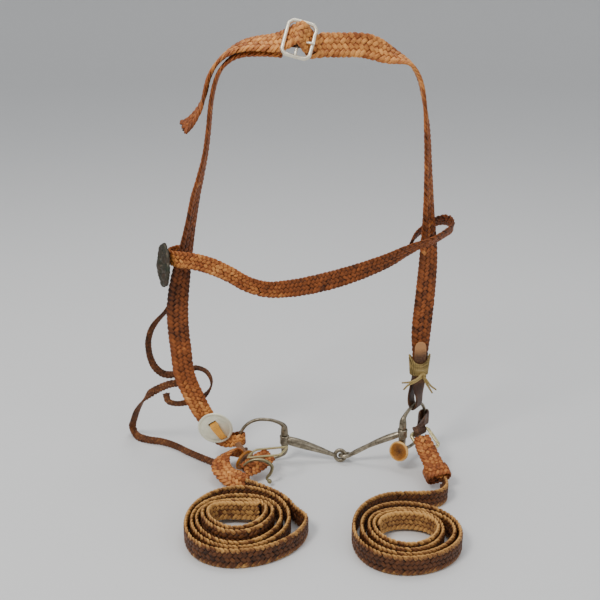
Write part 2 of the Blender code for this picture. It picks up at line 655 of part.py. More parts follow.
def left_rein():
    leather = material("plaited_leather", LEATHER)
    dark = material("dark_leather", DARK_LEATHER)
    tan = material("tan_leather", TAN_LEATHER)
    nickel = material("nickel", NICKEL, 0.3, 1.0)
    wire = Vector((LEFT_PIN[0] - RING_R * 1.82, LEFT_PIN[1], LEFT_PIN[2] - RING_R * 0.57))
    lace = arc(wire, (-0.82, 0, -0.57), (0, 1, 0), 3.7, -35, -325, 12)
    tail = [wire + Vector(p) for p in ((3.6, -7.0, -3.4), (4.0, -12.5, -3.2))]
    tube("left_rein_tie", lace[::-1] + tail, 1.3, dark, 8, origin=wire)
    dished_disc("left_rein_button", (-90.2, -29.0, -415.2), (0.72, -0.62, -0.3), 12.3, tan)
    rows = [
        (-95.5, -15.4, -410.0, 0.2, -0.3, 0.9, 0.6),
        (-100.5, -17.5, -407.0, 0.3, -0.5, 0.75, 0.8),
        (-106.5, -22.5, -404.0, 0.55, -0.55, 0.6),
        (-112.5, -33.0, -407.0, 0.85, -0.3, 0.35),
        (-112.0, -45.5, -412.5, 1, 0.1, 0.1),
        (-105.0, -58.0, -416.0, 0.8, 0.5, 0.3),
        (-95.0, -68.0, -416.8, 0.5, 0.5, 0.75),
        (-84.0, -76.0, -417.8, 0.1, 0.2, 1),
    ]
    strap("left_rein_loop", rows, REIN_W, 3.8, leather, 4)
    rows = [
        (-62.0, -31.0, -408.0, 0.6, -0.75, -0.25, 0.9),
        (-70.0, -37.4, -410.4, 0.6, -0.75, -0.25),
        (-79.0, -44.8, -412.4, 0.6, -0.75, -0.2),
        (-88.5, -53.8, -412.6, 0.6, -0.75, -0.1, 0.8),
    ]
    strap("left_rein_billet", rows, REIN_W * 0.9, 3.2, leather, 4)
    frame = Plane((-64.5, -40.7, -399.7), (0.872, -0.381, 0.305), (0.405, 0.914, -0.013))
    outline = [frame.at(u, v) for u, v in rounded_frame(20.5, 9.5, 4.0)]
    tube("left_rein_buckle_frame", outline, 1.3, nickel, 8, closed=True)
    hook = [(-89.0, -52.2, -408.8), (-84.5, -52.5, -404.6), (-78.5, -53.0, -401.8),
            (-72.0, -53.5, -401.2), (-64.6, -54.0, -403.4), (-59.2, -55.0, -408.6),
            (-60.6, -56.0, -415.2), (-64.6, -57.6, -420.6), (-62.0, -59.8, -423.0)]
    points = catmull(hook, 3)
    radii = np.full(len(points), 1.3)
    radii[-3:] = (1.8, 2.5, 1.5)
    tube("left_rein_buckle_tongue", points, radii, nickel, 8, origin=hook[0])
    side = (0, 0, 1)
    z = FLOOR + REIN_W / 2 + 0.3
    rows = [
        (-81.5, -80.0, z, *side),
        (-68.0, -88.0, z, *side),
        (-54.0, -96.9, z, *side),
        (-43.0, -108.6, z, *side),
        (-35.5, -121.8, z, *side),
        (-27.5, -136.0, z, *side),
        (-23.6, -148.0, z, *side),
        (-25.5, -160.0, z, *side),
        (-36.0, -173.5, z, *side),
        (-52.0, -184.5, z, *side),
        (-68.0, -196.2, z, *side),
    ]
    strap("left_rein_lead", rows, REIN_W, REIN_T, leather, 4)
    coil("left_rein_coil", LEFT_COIL, 6.0, leather)


def right_rein():
    leather = material("plaited_leather", LEATHER)
    dark = material("dark_leather", DARK_LEATHER)
    tan = material("tan_leather", TAN_LEATHER)
    nickel = material("nickel", NICKEL, 0.3, 1.0)
    turn = Vector((math.cos(RIGHT_RING_TURN), math.sin(RIGHT_RING_TURN), 0))
    wire = Vector(RIGHT_PIN) + turn * 2 * RING_R
    out = Vector((turn.y, -turn.x, 0))
    frame = Plane((105.05, -18.94, -397.07), (0.8746, 0.4564, 0.1635), (-0.4705, 0.7179, 0.513))
    rows = [
        (100.5, -3.8, -394.4, 0.7, 0.35, 0.6, 0.8),
        (*frame.at(0, 14.0, -3.6), 0.8, 0.44, 0.4),
        (*frame.at(0, 10.1, -3.1), *frame.u),
        (*frame.at(0, 8.5, 0.1), *frame.u),
        (*frame.at(0, 10.3, 3.3), *frame.u),
        (*frame.at(0.5, 14.5, 4.6), 0.8, 0.44, 0.4),
        (104.2, 1.0, -385.0, 0.5, 0.15, 0.85),
        (*(wire + out * 4.4 - turn * 7.5), 0.15, 0, 1),
        (*(wire + out * 4.2), 0, 0, 1),
        (*(wire + turn * 4.4), 0, 0, 1),
        (*(wire - out * 4.2), 0, 0, 1),
        (*(wire - out * 2.8 - turn * 8.0), 0, 0, 1, 0.95),
        (100.9, 4.2, -390.6, 0.2, 0.05, 1, 0.85),
    ]
    strap("right_rein_loop", rows, 14.5, 2.2, dark, 4)
    facing = (0.9, 0.28, 0.05)
    rows = [
        (100.4, -22.0, -391.6, *facing, 0.85),
        (103.2, -29.4, -397.4, *facing, 0.97),
        (106.5, -38.6, -402.8, *facing),
        (109.5, -49.0, -407.0, *facing),
        (111.5, -60.0, -411.5, *facing),
        (112.8, -70.5, -414.5, *facing, 0.9),
    ]
    strap("right_rein_body", rows, REIN_W, 6.4, leather, 4)
    outline = [frame.at(u, v) for u, v in rounded_frame(11.2, 12.0, 3.5)]
    tube("right_rein_buckle_frame", outline, 1.6, nickel, 8, closed=True)
    prong = [frame.at(8.8, 12.0, 2.8), frame.at(8.8, 6.0, 3.0), frame.at(8.8, -4.0, 3.0),
             frame.at(8.8, -12.6, 2.9)]
    tube("right_rein_buckle_tongue", prong, (1.0, 1.1, 1.1, 0.8), nickel, 8, origin=prong[0])
    keeper = Plane((112.2, -62.0, -412.2), facing, (-0.2, 0.85, 0.45))
    outer = rounded_frame(14.3, 7.5, 3.4, 4)
    inner = rounded_frame(12.0, 5.2, 2.0, 4)
    loops = []
    for outline, half in ((outer, -6.5), (outer, 6.5), (inner, 6.5), (inner, -6.5)):
        loops.append([keeper.centre + keeper.u * u + keeper.n * v + keeper.v * half for u, v in outline])
    bm = bmesh.new()
    skin(bm, loops, True)
    add_object("right_rein_keeper", bm, leather, keeper.centre)
    dished_disc("right_rein_button", (76.5, -27.8, -405.7), (-0.5, -0.84, 0.22), 11.0, tan)
    side = (0, 0, 1)
    z = FLOOR + REIN_W / 2 + 0.3
    rows = [
        (117.6, -76.8, z, 0.2, 0.05, 1, 0.95),
        (118.2, -85.0, z, *side),
        (114.0, -95.0, z, *side),
        (107.0, -100.8, z, *side),
        (98.5, -103.0, z, *side),
        (82.0, -105.8, z, *side),
        (63.0, -108.6, z, *side),
        (45.5, -112.6, z, *side),
        (31.0, -121.6, z, *side),
        (21.0, -136.0, z, *side),
        (16.7, -152.0, z, *side),
        (16.6, -168.0, z, *side),
    ]
    strap("right_rein_lead", rows, REIN_W, REIN_T, leather, 4)
    coil("right_rein_coil", RIGHT_COIL, 3.0, leather)


def main():
    clear_scene()
    plane, tongue_v = crown()
    right_headstall(plane, tongue_v)
    left_headstall()
    browband()
    rosette()
    concho()
    bit()
    left_bit_end()
    right_bit_end()
    thong()
    left_rein()
    right_rein()


main()
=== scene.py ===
"""Looks of the plaited leather bridle: every strap is woven from its own strands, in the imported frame.

Lengths in this file are in millimetres, in the frame's axes, and become metres in the mesh helpers.
"""

import math

import bmesh
import bpy
import numpy as np
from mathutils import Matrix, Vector


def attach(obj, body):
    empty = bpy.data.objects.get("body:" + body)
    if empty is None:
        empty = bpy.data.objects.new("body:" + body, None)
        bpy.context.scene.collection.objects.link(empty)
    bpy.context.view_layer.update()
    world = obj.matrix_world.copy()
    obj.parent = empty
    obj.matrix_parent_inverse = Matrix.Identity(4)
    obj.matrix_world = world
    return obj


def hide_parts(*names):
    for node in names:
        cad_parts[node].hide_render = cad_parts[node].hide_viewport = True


MM = 0.001
FLOOR = -429.0

STRAP_W, STRAP_T = 22.5, 4.0  # widths and thicknesses of the flat plaits
BROWBAND_W, BROWBAND_T = 19.6, 3.4
THONG_T = 2.6
REIN_W, REIN_T = 20.2, 4.0
REIN_Z = FLOOR + 10.6  # the centreline of a rein that stands on its edge
REIN_CORD, THONG_CORD = 0.0137, 0.005  # the diameters of the cords, in metres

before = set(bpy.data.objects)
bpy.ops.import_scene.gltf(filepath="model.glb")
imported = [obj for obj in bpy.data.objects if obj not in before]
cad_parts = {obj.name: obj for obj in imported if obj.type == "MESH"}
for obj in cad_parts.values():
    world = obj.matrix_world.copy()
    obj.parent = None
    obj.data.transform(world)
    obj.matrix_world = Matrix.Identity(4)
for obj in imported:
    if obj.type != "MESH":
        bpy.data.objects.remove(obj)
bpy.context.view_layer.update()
rng = np.random.default_rng(7)


# ---- materials

BLOTCH_SCALE, BLOTCH_REACH = 70.0, 1.1
GRAIN_SCALE, GRAIN_REACH = 900.0, 0.45
LEATHER_LEVEL = 0.56  # where plain leather sits on the ramp from dark to light
# The first value is how much painted shade darkens the crevices between strands; the other two only
# roughen.
CREVICE_SHADE, CREVICE_ROUGH, GRAIN_ROUGH = 0.7, 0.25, 0.35


def new_material(name):
    """A material with its shader, the object's coordinates and a function that adds a node."""
    mat = bpy.data.materials.new(name)
    mat.use_nodes = True
    tree = mat.node_tree

    def add(kind, inputs=None, links=None, **settings):
        node = tree.nodes.new("ShaderNode" + kind)
        for key, value in settings.items():
            setattr(node, key, value)
        for key, value in (inputs or {}).items():
            node.inputs[key].default_value = value
        for key, value in (links or {}).items():
            tree.links.new(value, node.inputs[key])
        return node

    return mat, tree, tree.nodes["Principled BSDF"], add("TexCoord").outputs["Object"], add


def set_ramp(ramp, *stops):
    """Colours of a two-stop ramp by position, with any further stop between them."""
    elements = ramp.color_ramp.elements
    for element, (position, colour) in zip(elements, (stops[0], stops[-1])):
        element.position = position
        element.color = (*colour, 1)
    for position, colour in stops[1:-1]:
        elements.new(position).color = (*colour, 1)


def leather(name, dark, mid, light, spread, rough=0.5, coat=0.03):
    """Oiled leather: darker in the crevices as painted shade (attribute cav), so the strands' raised
    crowns stay paler, each strand with a tone of its own (attribute tone, which also carries the
    plaits' painted highlights and painted light and shade), and a fine grain."""
    mat, tree, shader, place, add = new_material(name)
    cav = add("Attribute", attribute_name="cav").outputs["Fac"]
    tone = add("Attribute", attribute_name="tone").outputs["Fac"]
    blotch = add("TexNoise", {"Scale": BLOTCH_SCALE, "Detail": 4.0}, {"Vector": place}).outputs["Fac"]
    grain = add("TexNoise", {"Scale": GRAIN_SCALE, "Detail": 3.0}, {"Vector": place}).outputs["Fac"]

    def maths(operation, *values):
        node = add("Math", operation=operation)
        for slot, value in enumerate(values):
            if isinstance(value, float):
                node.inputs[slot].default_value = value
            else:
                tree.links.new(value, node.inputs[slot])
        return node.outputs[0]

    wear = maths("MULTIPLY", maths("SUBTRACT", blotch, 0.5), BLOTCH_REACH * spread)
    fine = maths("MULTIPLY", maths("SUBTRACT", grain, 0.5), GRAIN_REACH)
    level = maths("ADD", maths("ADD", maths("ADD", LEATHER_LEVEL, wear), fine), tone)
    # Painted shade: darker where cav marks a crevice between strands.
    level = maths("SUBTRACT", level, maths("MULTIPLY", cav, CREVICE_SHADE))
    ramp = add("ValToRGB", links={"Fac": level})
    set_ramp(ramp, (0.08, dark), (0.55, mid), (0.95, light))
    tree.links.new(ramp.outputs["Color"], shader.inputs["Base Color"])
    roughness = maths("ADD", rough, maths("MULTIPLY", cav, CREVICE_ROUGH))
    roughness = maths("ADD", roughness, maths("MULTIPLY", fine, GRAIN_ROUGH))
    tree.links.new(roughness, shader.inputs["Roughness"])
    bump = add("Bump", {"Strength": 0.25, "Distance": 0.0003}, {"Height": grain})
    tree.links.new(bump.outputs["Normal"], shader.inputs["Normal"])
    shader.inputs["Coat Weight"].default_value = coat
    shader.inputs["Coat Roughness"].default_value = 0.35
    shader.inputs["Specular IOR Level"].default_value = 0.26
    return mat


def metal(name, colour, stain, rough, amount, mottle=180.0, metallic=1.0):
    """Worn metal: a base colour with stains, rougher where it is stained."""
    mat, tree, shader, place, add = new_material(name)
    noise = add("TexNoise", {"Scale": mottle, "Detail": 6.0, "Roughness": 0.65}, {"Vector": place})
    stains = noise.outputs["Fac"]
    ramp = add("ValToRGB", links={"Fac": stains})
    set_ramp(ramp, (0.32, colour), (0.72, stain))
    mix = add("Mix", data_type="RGBA")
    mix.inputs["Factor"].default_value = amount
    mix.inputs["A"].default_value = (*colour, 1)
    tree.links.new(ramp.outputs["Color"], mix.inputs["B"])
    tree.links.new(mix.outputs["Result"], shader.inputs["Base Color"])
    roughness = add("MapRange", {"To Min": rough, "To Max": min(rough + 0.35, 0.9)}, {"Value": stains})
    tree.links.new(roughness.outputs["Result"], shader.inputs["Roughness"])
    bump = add("Bump", {"Strength": 0.12, "Distance": 0.0004}, {"Height": stains})
    tree.links.new(bump.outputs["Normal"], shader.inputs["Normal"])
    shader.inputs["Metallic"].default_value = metallic
    return mat


RUSSET = leather("russet_plait", (0.022, 0.006, 0.002), (0.30, 0.08, 0.017), (0.86, 0.38, 0.095), 0.5)
REIN = leather("rein_plait", (0.008, 0.003, 0.0015), (0.14, 0.046, 0.013), (0.66, 0.35, 0.10), 0.35)
THONG = leather("thong_plait", (0.014, 0.005, 0.002), (0.17, 0.055, 0.016), (0.58, 0.30, 0.10), 0.5)
DARK = leather("dark_leather", (0.006, 0.003, 0.002), (0.06, 0.027, 0.016), (0.46, 0.22, 0.09), 0.4)
TAN = leather("tan_leather", (0.06, 0.018, 0.003), (0.40, 0.145, 0.014), (0.88, 0.54, 0.18), 0.4,
              coat=0.15)
LACE = leather("tan_lace", (0.012, 0.005, 0.002), (0.82, 0.38, 0.06), (0.98, 0.62, 0.2), 0.4)
TWINE = leather("hemp_twine", (0.04, 0.022, 0.007), (0.44, 0.31, 0.11), (0.86, 0.72, 0.40), 0.5,
                rough=0.75, coat=0.0)
NICKEL = metal("nickel", (0.92, 0.87, 0.72), (0.60, 0.52, 0.34), 0.26, 0.5, metallic=0.85)
SILVER = metal("silver", (0.88, 0.84, 0.66), (0.64, 0.66, 0.48), 0.3, 0.7, mottle=150, metallic=0.5)
STEEL = metal("worn_steel", (0.44, 0.38, 0.28), (0.07, 0.052, 0.03), 0.2, 0.95)
BRASS = metal("brass", (0.80, 0.70, 0.38), (0.34, 0.26, 0.11), 0.26, 0.7)
OLIVE = metal("olive_steel", (0.44, 0.38, 0.22), (0.10, 0.085, 0.045), 0.24, 0.8)
BRONZE = metal("old_bronze", (0.12, 0.085, 0.065), (0.045, 0.065, 0.048), 0.4, 0.9, mottle=140)


# ---- meshes


def piece(name, parts, mat, body, replaced, smooth=50):
    """One mesh object from parts (points, faces, cav, tone) in millimetres. It rides on a body and
    stands for the replaced CAD nodes. Edges sharper than smooth degrees stay sharp."""
    faces = []
    start = 0
    for points, part_faces, _, _ in parts:
        faces.extend([i + start for i in face] for face in part_faces)
        start += len(points)
    mesh = bpy.data.meshes.new(name)
    mesh.from_pydata((np.concatenate([part[0] for part in parts]) * MM).tolist(), [], faces)
    shell = bmesh.new()
    shell.from_mesh(mesh)
    bmesh.ops.recalc_face_normals(shell, faces=shell.faces)
    shell.to_mesh(mesh)
    shell.free()
    mesh.update()
    for key, k in (("cav", 2), ("tone", 3)):
        attribute = mesh.attributes.new(key, "FLOAT", "POINT")
        values = np.concatenate([part[k] for part in parts])
        attribute.data.foreach_set("value", np.asarray(values, np.float32))
    mesh.shade_smooth()
    if smooth < 180:
        mesh.set_sharp_from_angle(angle=math.radians(smooth))
    mesh.materials.append(mat)
    obj = bpy.data.objects.new(name, mesh)
    bpy.context.scene.collection.objects.link(obj)
    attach(obj, body)
    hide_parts(*replaced)
    return obj


def catmull(rows, per):
    """A Catmull-Rom curve through rows, with per points to each span."""
    rows = np.asarray(rows, float)
    ends = np.vstack([2 * rows[0] - rows[1], rows, 2 * rows[-1] - rows[-2]])
    out = []
    for i in range(1, len(ends) - 2):
        a, b, c, d = ends[i - 1:i + 3]
        for t in np.arange(per) / per:
            out.append(0.5 * (2 * b + (c - a) * t + (2 * a - 5 * b + 4 * c - d) * t * t
                              + (3 * b - a - 3 * c + d) * t ** 3))
    out.append(rows[-1])
    return np.array(out)


def unit(v):
    return v / np.maximum(np.linalg.norm(v, axis=-1, keepdims=True), 1e-9)


class Path:
    """A strap's centreline by length along it. A row is a point, the direction across the strap and, if
    it isn't the full width, the share of it."""

    def __init__(self, rows):
        self.fine = catmull([list(row) + [1.0] * (7 - len(row)) for row in rows], 16)
        step = np.linalg.norm(np.diff(self.fine[:, :3], axis=0), axis=1)
        self.s = np.concatenate([[0], np.cumsum(step)])
        self.length = self.s[-1]

    def values(self, s, count):
        s = np.clip(s, 0, self.length)
        return np.stack([np.interp(s, self.s, self.fine[:, k]) for k in range(count)], -1)

    def at(self, s):
        """Points, directions across, directions out of the face, and shares of the width."""
        s = np.clip(s, 0, self.length)
        values = self.values(s, 7)
        t = unit(self.values(s + 1.0, 3) - self.values(s - 1.0, 3))
        across = values[:, 3:6]
        across = unit(across - t * (across * t).sum(-1, keepdims=True))
        return values[:, :3], across, np.cross(t, across), values[:, 6]


def grid_faces(rings, sides, closed=False):
    """Quads of a tube of rings, with end caps unless it closes on itself."""
    ring = np.arange(rings if closed else rings - 1)[:, None]
    here, ahead = ring * sides, (ring + 1) % rings * sides
    j = np.arange(sides)
    k = (j + 1) % sides
    quads = np.stack([here + j, here + k, ahead + k, ahead + j], -1).reshape(-1, 4).tolist()
    if not closed:
        quads.append(list(range(sides))[::-1])
        quads.append([(rings - 1) * sides + k for k in range(sides)])
    return quads


def squared(angle, power):
    """The cosine and sine of an angle: a circle at power 1, squarer below that."""
    c, s = np.cos(angle), np.sin(angle)
    return np.sign(c) * np.abs(c) ** power, np.sign(s) * np.abs(s) ** power


def sweep(centre, side, up, width, thick, sides, power, tone=0.0, closed=False):
    """A tube as a part. side and up are unit vectors at each centre point."""
    c, s = squared(2 * np.pi * (np.arange(sides) + 0.5) / sides, power)
    rings = len(centre)
    width = np.broadcast_to(width, rings)
    thick = np.broadcast_to(thick, rings)
    points = (centre[:, None] + side[:, None] * (c[None, :, None] * width[:, None, None] / 2)
              + up[:, None] * (s[None, :, None] * thick[:, None, None] / 2))
    tones = np.broadcast_to(np.reshape(tone, (-1, 1)), (rings, sides)).ravel()
    return points.reshape(-1, 3), grid_faces(rings, sides, closed), np.zeros(rings * sides), tones


# A strand's section, as shares of its half width and half thickness, and how much of it is rim, which
# takes the painted highlight.
STRAND = np.array(((1, 0), (0.8, 0.8), (0, 1), (-0.8, 0.8), (-1, 0), (-0.8, -0.8), (0, -1), (0.8, -0.8)))
STRAND_HIGHLIGHT = np.array((1, 0.4, 0, 0.4, 1, 0.4, 0, 0.4))

# The order in which a strand passes over (1) and under (-1) the others from edge to edge.
OVER_8 = (1, 1, -1, -1, 1, 1, -1)
OVER_6 = (1, 1, -1, -1, 1)
OVER_4 = (1, -1, 1)

SLOPE = 1.12  # of a strand across the plait
STRAND_SHARE = 1.16  # a strand's width against the room it has
KNOT_GAP = 17.0  # between the places where a strand's own wander and tone are drawn
TURN_ROUND = 0.985  # rounds a strand's turn at the plait's edge
EDGE_FROM = 0.7  # where the plait's edge begins, as a share of its half width


def plait(path, width, thick, over=OVER_8, step=1.5, tone=0.0, rim=0.2, edge=0.0, shade=None):
    """A flat plait as parts, one a strand. Each strand crosses from edge to edge and back, over and
    under its neighbours in the order of over. rim paints a highlight on the strands' own edges, edge
    paints a highlight on the plait's two edges, and shade(s, side) adds a tone by length and by face
    (side is 1 or -1), which on the headstall straps and the reins is painted light and shade."""
    count = len(over) + 1
    period = 2 * width / SLOPE
    strand_w = period / count * math.sin(math.atan(SLOPE)) * STRAND_SHARE
    strand_t = thick * 0.5
    lift = thick * 0.25
    nodes = np.array([0.0, *over, 0.0, *(-v for v in over[::-1]), 0.0])
    ds = step / math.sqrt(1 + SLOPE * SLOPE)
    s = np.linspace(0.0, path.length, max(int(path.length / ds), 4))
    p, across, n, share = path.at(s)
    knots = np.arange(0, path.length + 60, KNOT_GAP)
    parts = []
    for k in range(count):
        u = s / period + k / count + np.interp(s, knots, rng.normal(0, 0.012, len(knots)))
        x = 1 - np.abs((u % 1.0) * 2 - 1)
        x = np.arcsin(TURN_ROUND * np.sin((x - 0.5) * np.pi)) / math.asin(TURN_ROUND)
        position = (u % 1.0) * 2 * count
        low = np.floor(position).astype(int) % (2 * count)
        part = position - np.floor(position)
        ease = part * part * (3 - 2 * part)
        z = nodes[low] * (1 - ease) + nodes[low + 1] * ease
        half = (width * share - strand_w * 0.8) / 2
        centre = p + across * (x * half)[:, None] + n * (z * lift)[:, None]
        t = unit(np.gradient(centre, axis=0))
        side = unit(np.cross(n, t))
        up = np.cross(t, side)
        w = strand_w * (0.5 + 0.5 * share) * (1 + rng.normal(0, 0.03))
        points = (centre[:, None] + side[:, None] * (STRAND[None, :, :1] * w[:, None, None] / 2)
                  + up[:, None] * (STRAND[None, :, 1:] * strand_t / 2))
        height = ((points - p[:, None]) * n[:, None]).sum(-1)
        near = np.clip((np.abs(x) - EDGE_FROM) / (1 - EDGE_FROM), 0, 1)
        # cav is for painted shade: deepest where a strand dips under its neighbours, weaker towards the
        # plait's edges.
        cav = np.clip(1 - np.abs(height) / (lift + strand_t / 2), 0, 1) ** 0.8
        cav = cav * (1 - 0.6 * near)[:, None]
        own = rng.normal(0, 0.05) + np.interp(s, knots, rng.normal(0, 0.05, len(knots)))
        # rim paints a highlight on each strand's edges and edge a highlight on the plait's edges; own is
        # the strand's own tone.
        tones = (tone + own + edge * near)[:, None] + rim * STRAND_HIGHLIGHT[None, :] * (1 - 0.5 * cav)
        # shade adds the caller's tone by length and face: painted light and shade on the headstall
        # straps and the reins.
        if shade is not None:
            tones = tones + np.where(height > 0, shade(s, 1)[:, None], shade(s, -1)[:, None])
        parts.append((points.reshape(-1, 3), grid_faces(len(s), len(STRAND)), cav.ravel(),
                      tones.ravel()))
    return parts


def by_length(lengths, values):
    """A shade for plait: a tone by length, the same on both faces."""
    return lambda s, side: np.interp(s, lengths, values)


def strap_piece(name, rows, width, thick, mat, body, replaced, **options):
    path = Path(rows)
    parts = plait(path, width, thick, **options)
    return piece(name, parts, mat, body, replaced, smooth=180), path


def plain_strap(rows, width, thick, tone=0.0):
    """A smooth strap as a part. tone may be a pair: lengths and the tones there."""
    path = Path(rows)
    s = np.linspace(0, path.length, max(int(path.length / 1.2), 8))
    p, across, n, share = path.at(s)
    if not isinstance(tone, float):
        tone = np.interp(s, *tone)
    return sweep(p, across, n, width * share, thick, sides=16, power=0.35, tone=tone)


def wire_part(points, radii, sides=14, per=6, closed=False, up=(0, 0, 1)):
    """A round wire through points, smoothed."""
    rows = np.column_stack([points, np.broadcast_to(radii, len(points))])
    if closed:
        rows = np.vstack([rows[-2:], rows, rows[:3]])
        fine = catmull(rows, per)[2 * per:-2 * per - 1]
    else:
        fine = catmull(rows, per)
    centre = fine[:, :3]
    if closed:
        t = unit(np.roll(centre, -1, 0) - np.roll(centre, 1, 0))
    else:
        t = unit(np.gradient(centre, axis=0))
    side = np.zeros_like(t)
    last = np.cross(t[0], up)
    if np.linalg.norm(last) < 0.1:
        last = np.cross(t[0], (0, 1, 0.1))
    for i in range(len(t)):
        last = last - t[i] * last.dot(t[i])
        last = last / np.linalg.norm(last)
        side[i] = last
    across = fine[:, 3] * 2
    return sweep(centre, side, np.cross(t, side), across, across, sides, 1.0, closed=closed)


PLY_SIDES = 8


def two_ply(line, radius, pitch=3.6):
    """Twine: two plies twisted about a line of closely set points."""
    t = unit(np.gradient(line, axis=0))
    first = unit(np.cross(t, (0.15, 0.35, 1.0)))
    second = np.cross(t, first)
    along = np.concatenate([[0], np.cumsum(np.linalg.norm(np.diff(line, axis=0), axis=1))])
    radius = np.broadcast_to(radius, len(line))
    parts = []
    for k in (0, 1):
        angle = 2 * np.pi * along / pitch + np.pi * k
        around = first * np.cos(angle)[:, None] + second * np.sin(angle)[:, None]
        points, faces, _, tone = wire_part(line + around * (0.55 * radius)[:, None], 0.52 * radius,
                                           sides=PLY_SIDES, per=1)
        away = np.linalg.norm(points.reshape(len(line), -1, 3) - line[:, None], axis=2)
        # cav is for painted shade, darker where each ply sinks towards the twine's middle.
        cav = np.clip(1.15 - away / radius[:, None], 0, 1).ravel()
        parts.append((points, faces, cav, tone + 0.1 * np.sin(np.repeat(along, PLY_SIDES) * 0.13)))
    return parts


def nothing(r, angle):
    return 0 * angle


def lathe_part(profile, centre, axis, steps=64, ripple=nothing, scallop=nothing, tone=nothing):
    """Turns (radius, height) points about the axis. ripple(radius, angle) adds to the height,
    scallop(radius, angle) scales the radius and tone(radius, angle) tints."""
    axis = unit(np.asarray(axis, float))
    first = unit(np.cross(axis, (0, 0, 1.0) if abs(axis[2]) < 0.9 else (1.0, 0, 0)))
    second = np.cross(axis, first)
    angle = 2 * np.pi * np.arange(steps) / steps
    points = []
    tones = []
    for r, h in profile:
        reach = r * (1 + scallop(r, angle))
        points.append(centre + first * (reach * np.cos(angle))[:, None]
                      + second * (reach * np.sin(angle))[:, None]
                      + axis * (h + ripple(r, angle))[:, None])
        tones.append(tone(r, angle))
    points = np.concatenate(points)
    return points, grid_faces(len(profile), steps), np.zeros(len(points)), np.concatenate(tones)


def disc(name, centre, axis, radius, body, node, rim):
    """A thick dished leather button with a hole's dimple and a rolled edge, lighter by rim, with painted
    shade towards the dimple.
    """
    profile = [(0.01, -1.2), (radius * 0.86, -1.2), (radius * 0.96, -0.7), (radius, 0.3),
               (radius * 0.985, 1.4), (radius * 0.94, 1.9), (radius * 0.87, 2.1), (radius * 0.78, 1.9),
               (radius * 0.66, 1.3), (radius * 0.45, 0.6), (radius * 0.22, 0.2), (radius * 0.14, -0.1),
               (0.01, -0.2)]

    def ripple(r, angle):
        return 0.12 * np.sin(angle * 3 + 1) + 0.06 * np.sin(angle * 11 + r)

    # The rolled edge is lighter by rim; the darkening towards the middle is painted shade in the dished
    # face and its dimple.
    def tint(r, angle):
        return (rim * np.clip((r / radius - 0.74) / 0.16, 0, 1) - 0.12
                - 0.3 * np.clip(1.2 - r / (0.6 * radius), 0, 1) + 0.05 * np.sin(angle * 5 + r))

    piece(name, [lathe_part(profile, centre, axis, ripple=ripple, tone=tint)], TAN, body,
          [node])


def rounded_frame(half_w, half_h, corner, per_corner):
    """(x, y) points of a rectangle with rounded corners."""
    points = []
    for k, (sx, sy) in enumerate(((1, 1), (-1, 1), (-1, -1), (1, -1))):
        for i in range(per_corner):
            angle = math.radians(90 * k + 90 * i / (per_corner - 1))
            points.append((sx * (half_w - corner) + corner * math.cos(angle),
                           sy * (half_h - corner) + corner * math.sin(angle)))
    return points


class Plane:
    """A local plane: u to its right, v up it, n out of its front."""

    def __init__(self, centre, u, v):
        self.centre = np.array(centre, float)
        self.u = unit(np.array(u, float))
        v = np.array(v, float)
        self.v = unit(v - self.u * v.dot(self.u))
        self.n = np.cross(self.u, self.v)

    def at(self, u, v, n=0.0):
        return self.centre + self.u * u + self.v * v + self.n * n


def arc(centre, first, second, radius, start, end, count):
    """Points round a centre, from the first direction towards the second, in degrees."""
    centre, first, second = (np.array(x, float) for x in (centre, first, second))
    angle = np.radians(np.linspace(start, end, count))
    return centre + radius * (first * np.cos(angle)[:, None] + second * np.sin(angle)[:, None])


# ---- crown

LEAN = math.radians(15)
TILT = math.radians(20)
UP_TILTED = np.array((0, math.sin(TILT), math.cos(TILT)))
CROWN = Plane((-30.8, -6.5, 16.5), np.array((math.cos(LEAN), 0, 0)) - UP_TILTED * math.sin(LEAN),
              np.array((math.sin(LEAN), 0, 0)) + UP_TILTED * math.cos(LEAN))
TONGUE_V = -1.5  # the tongue's height on the crown buckle's bar


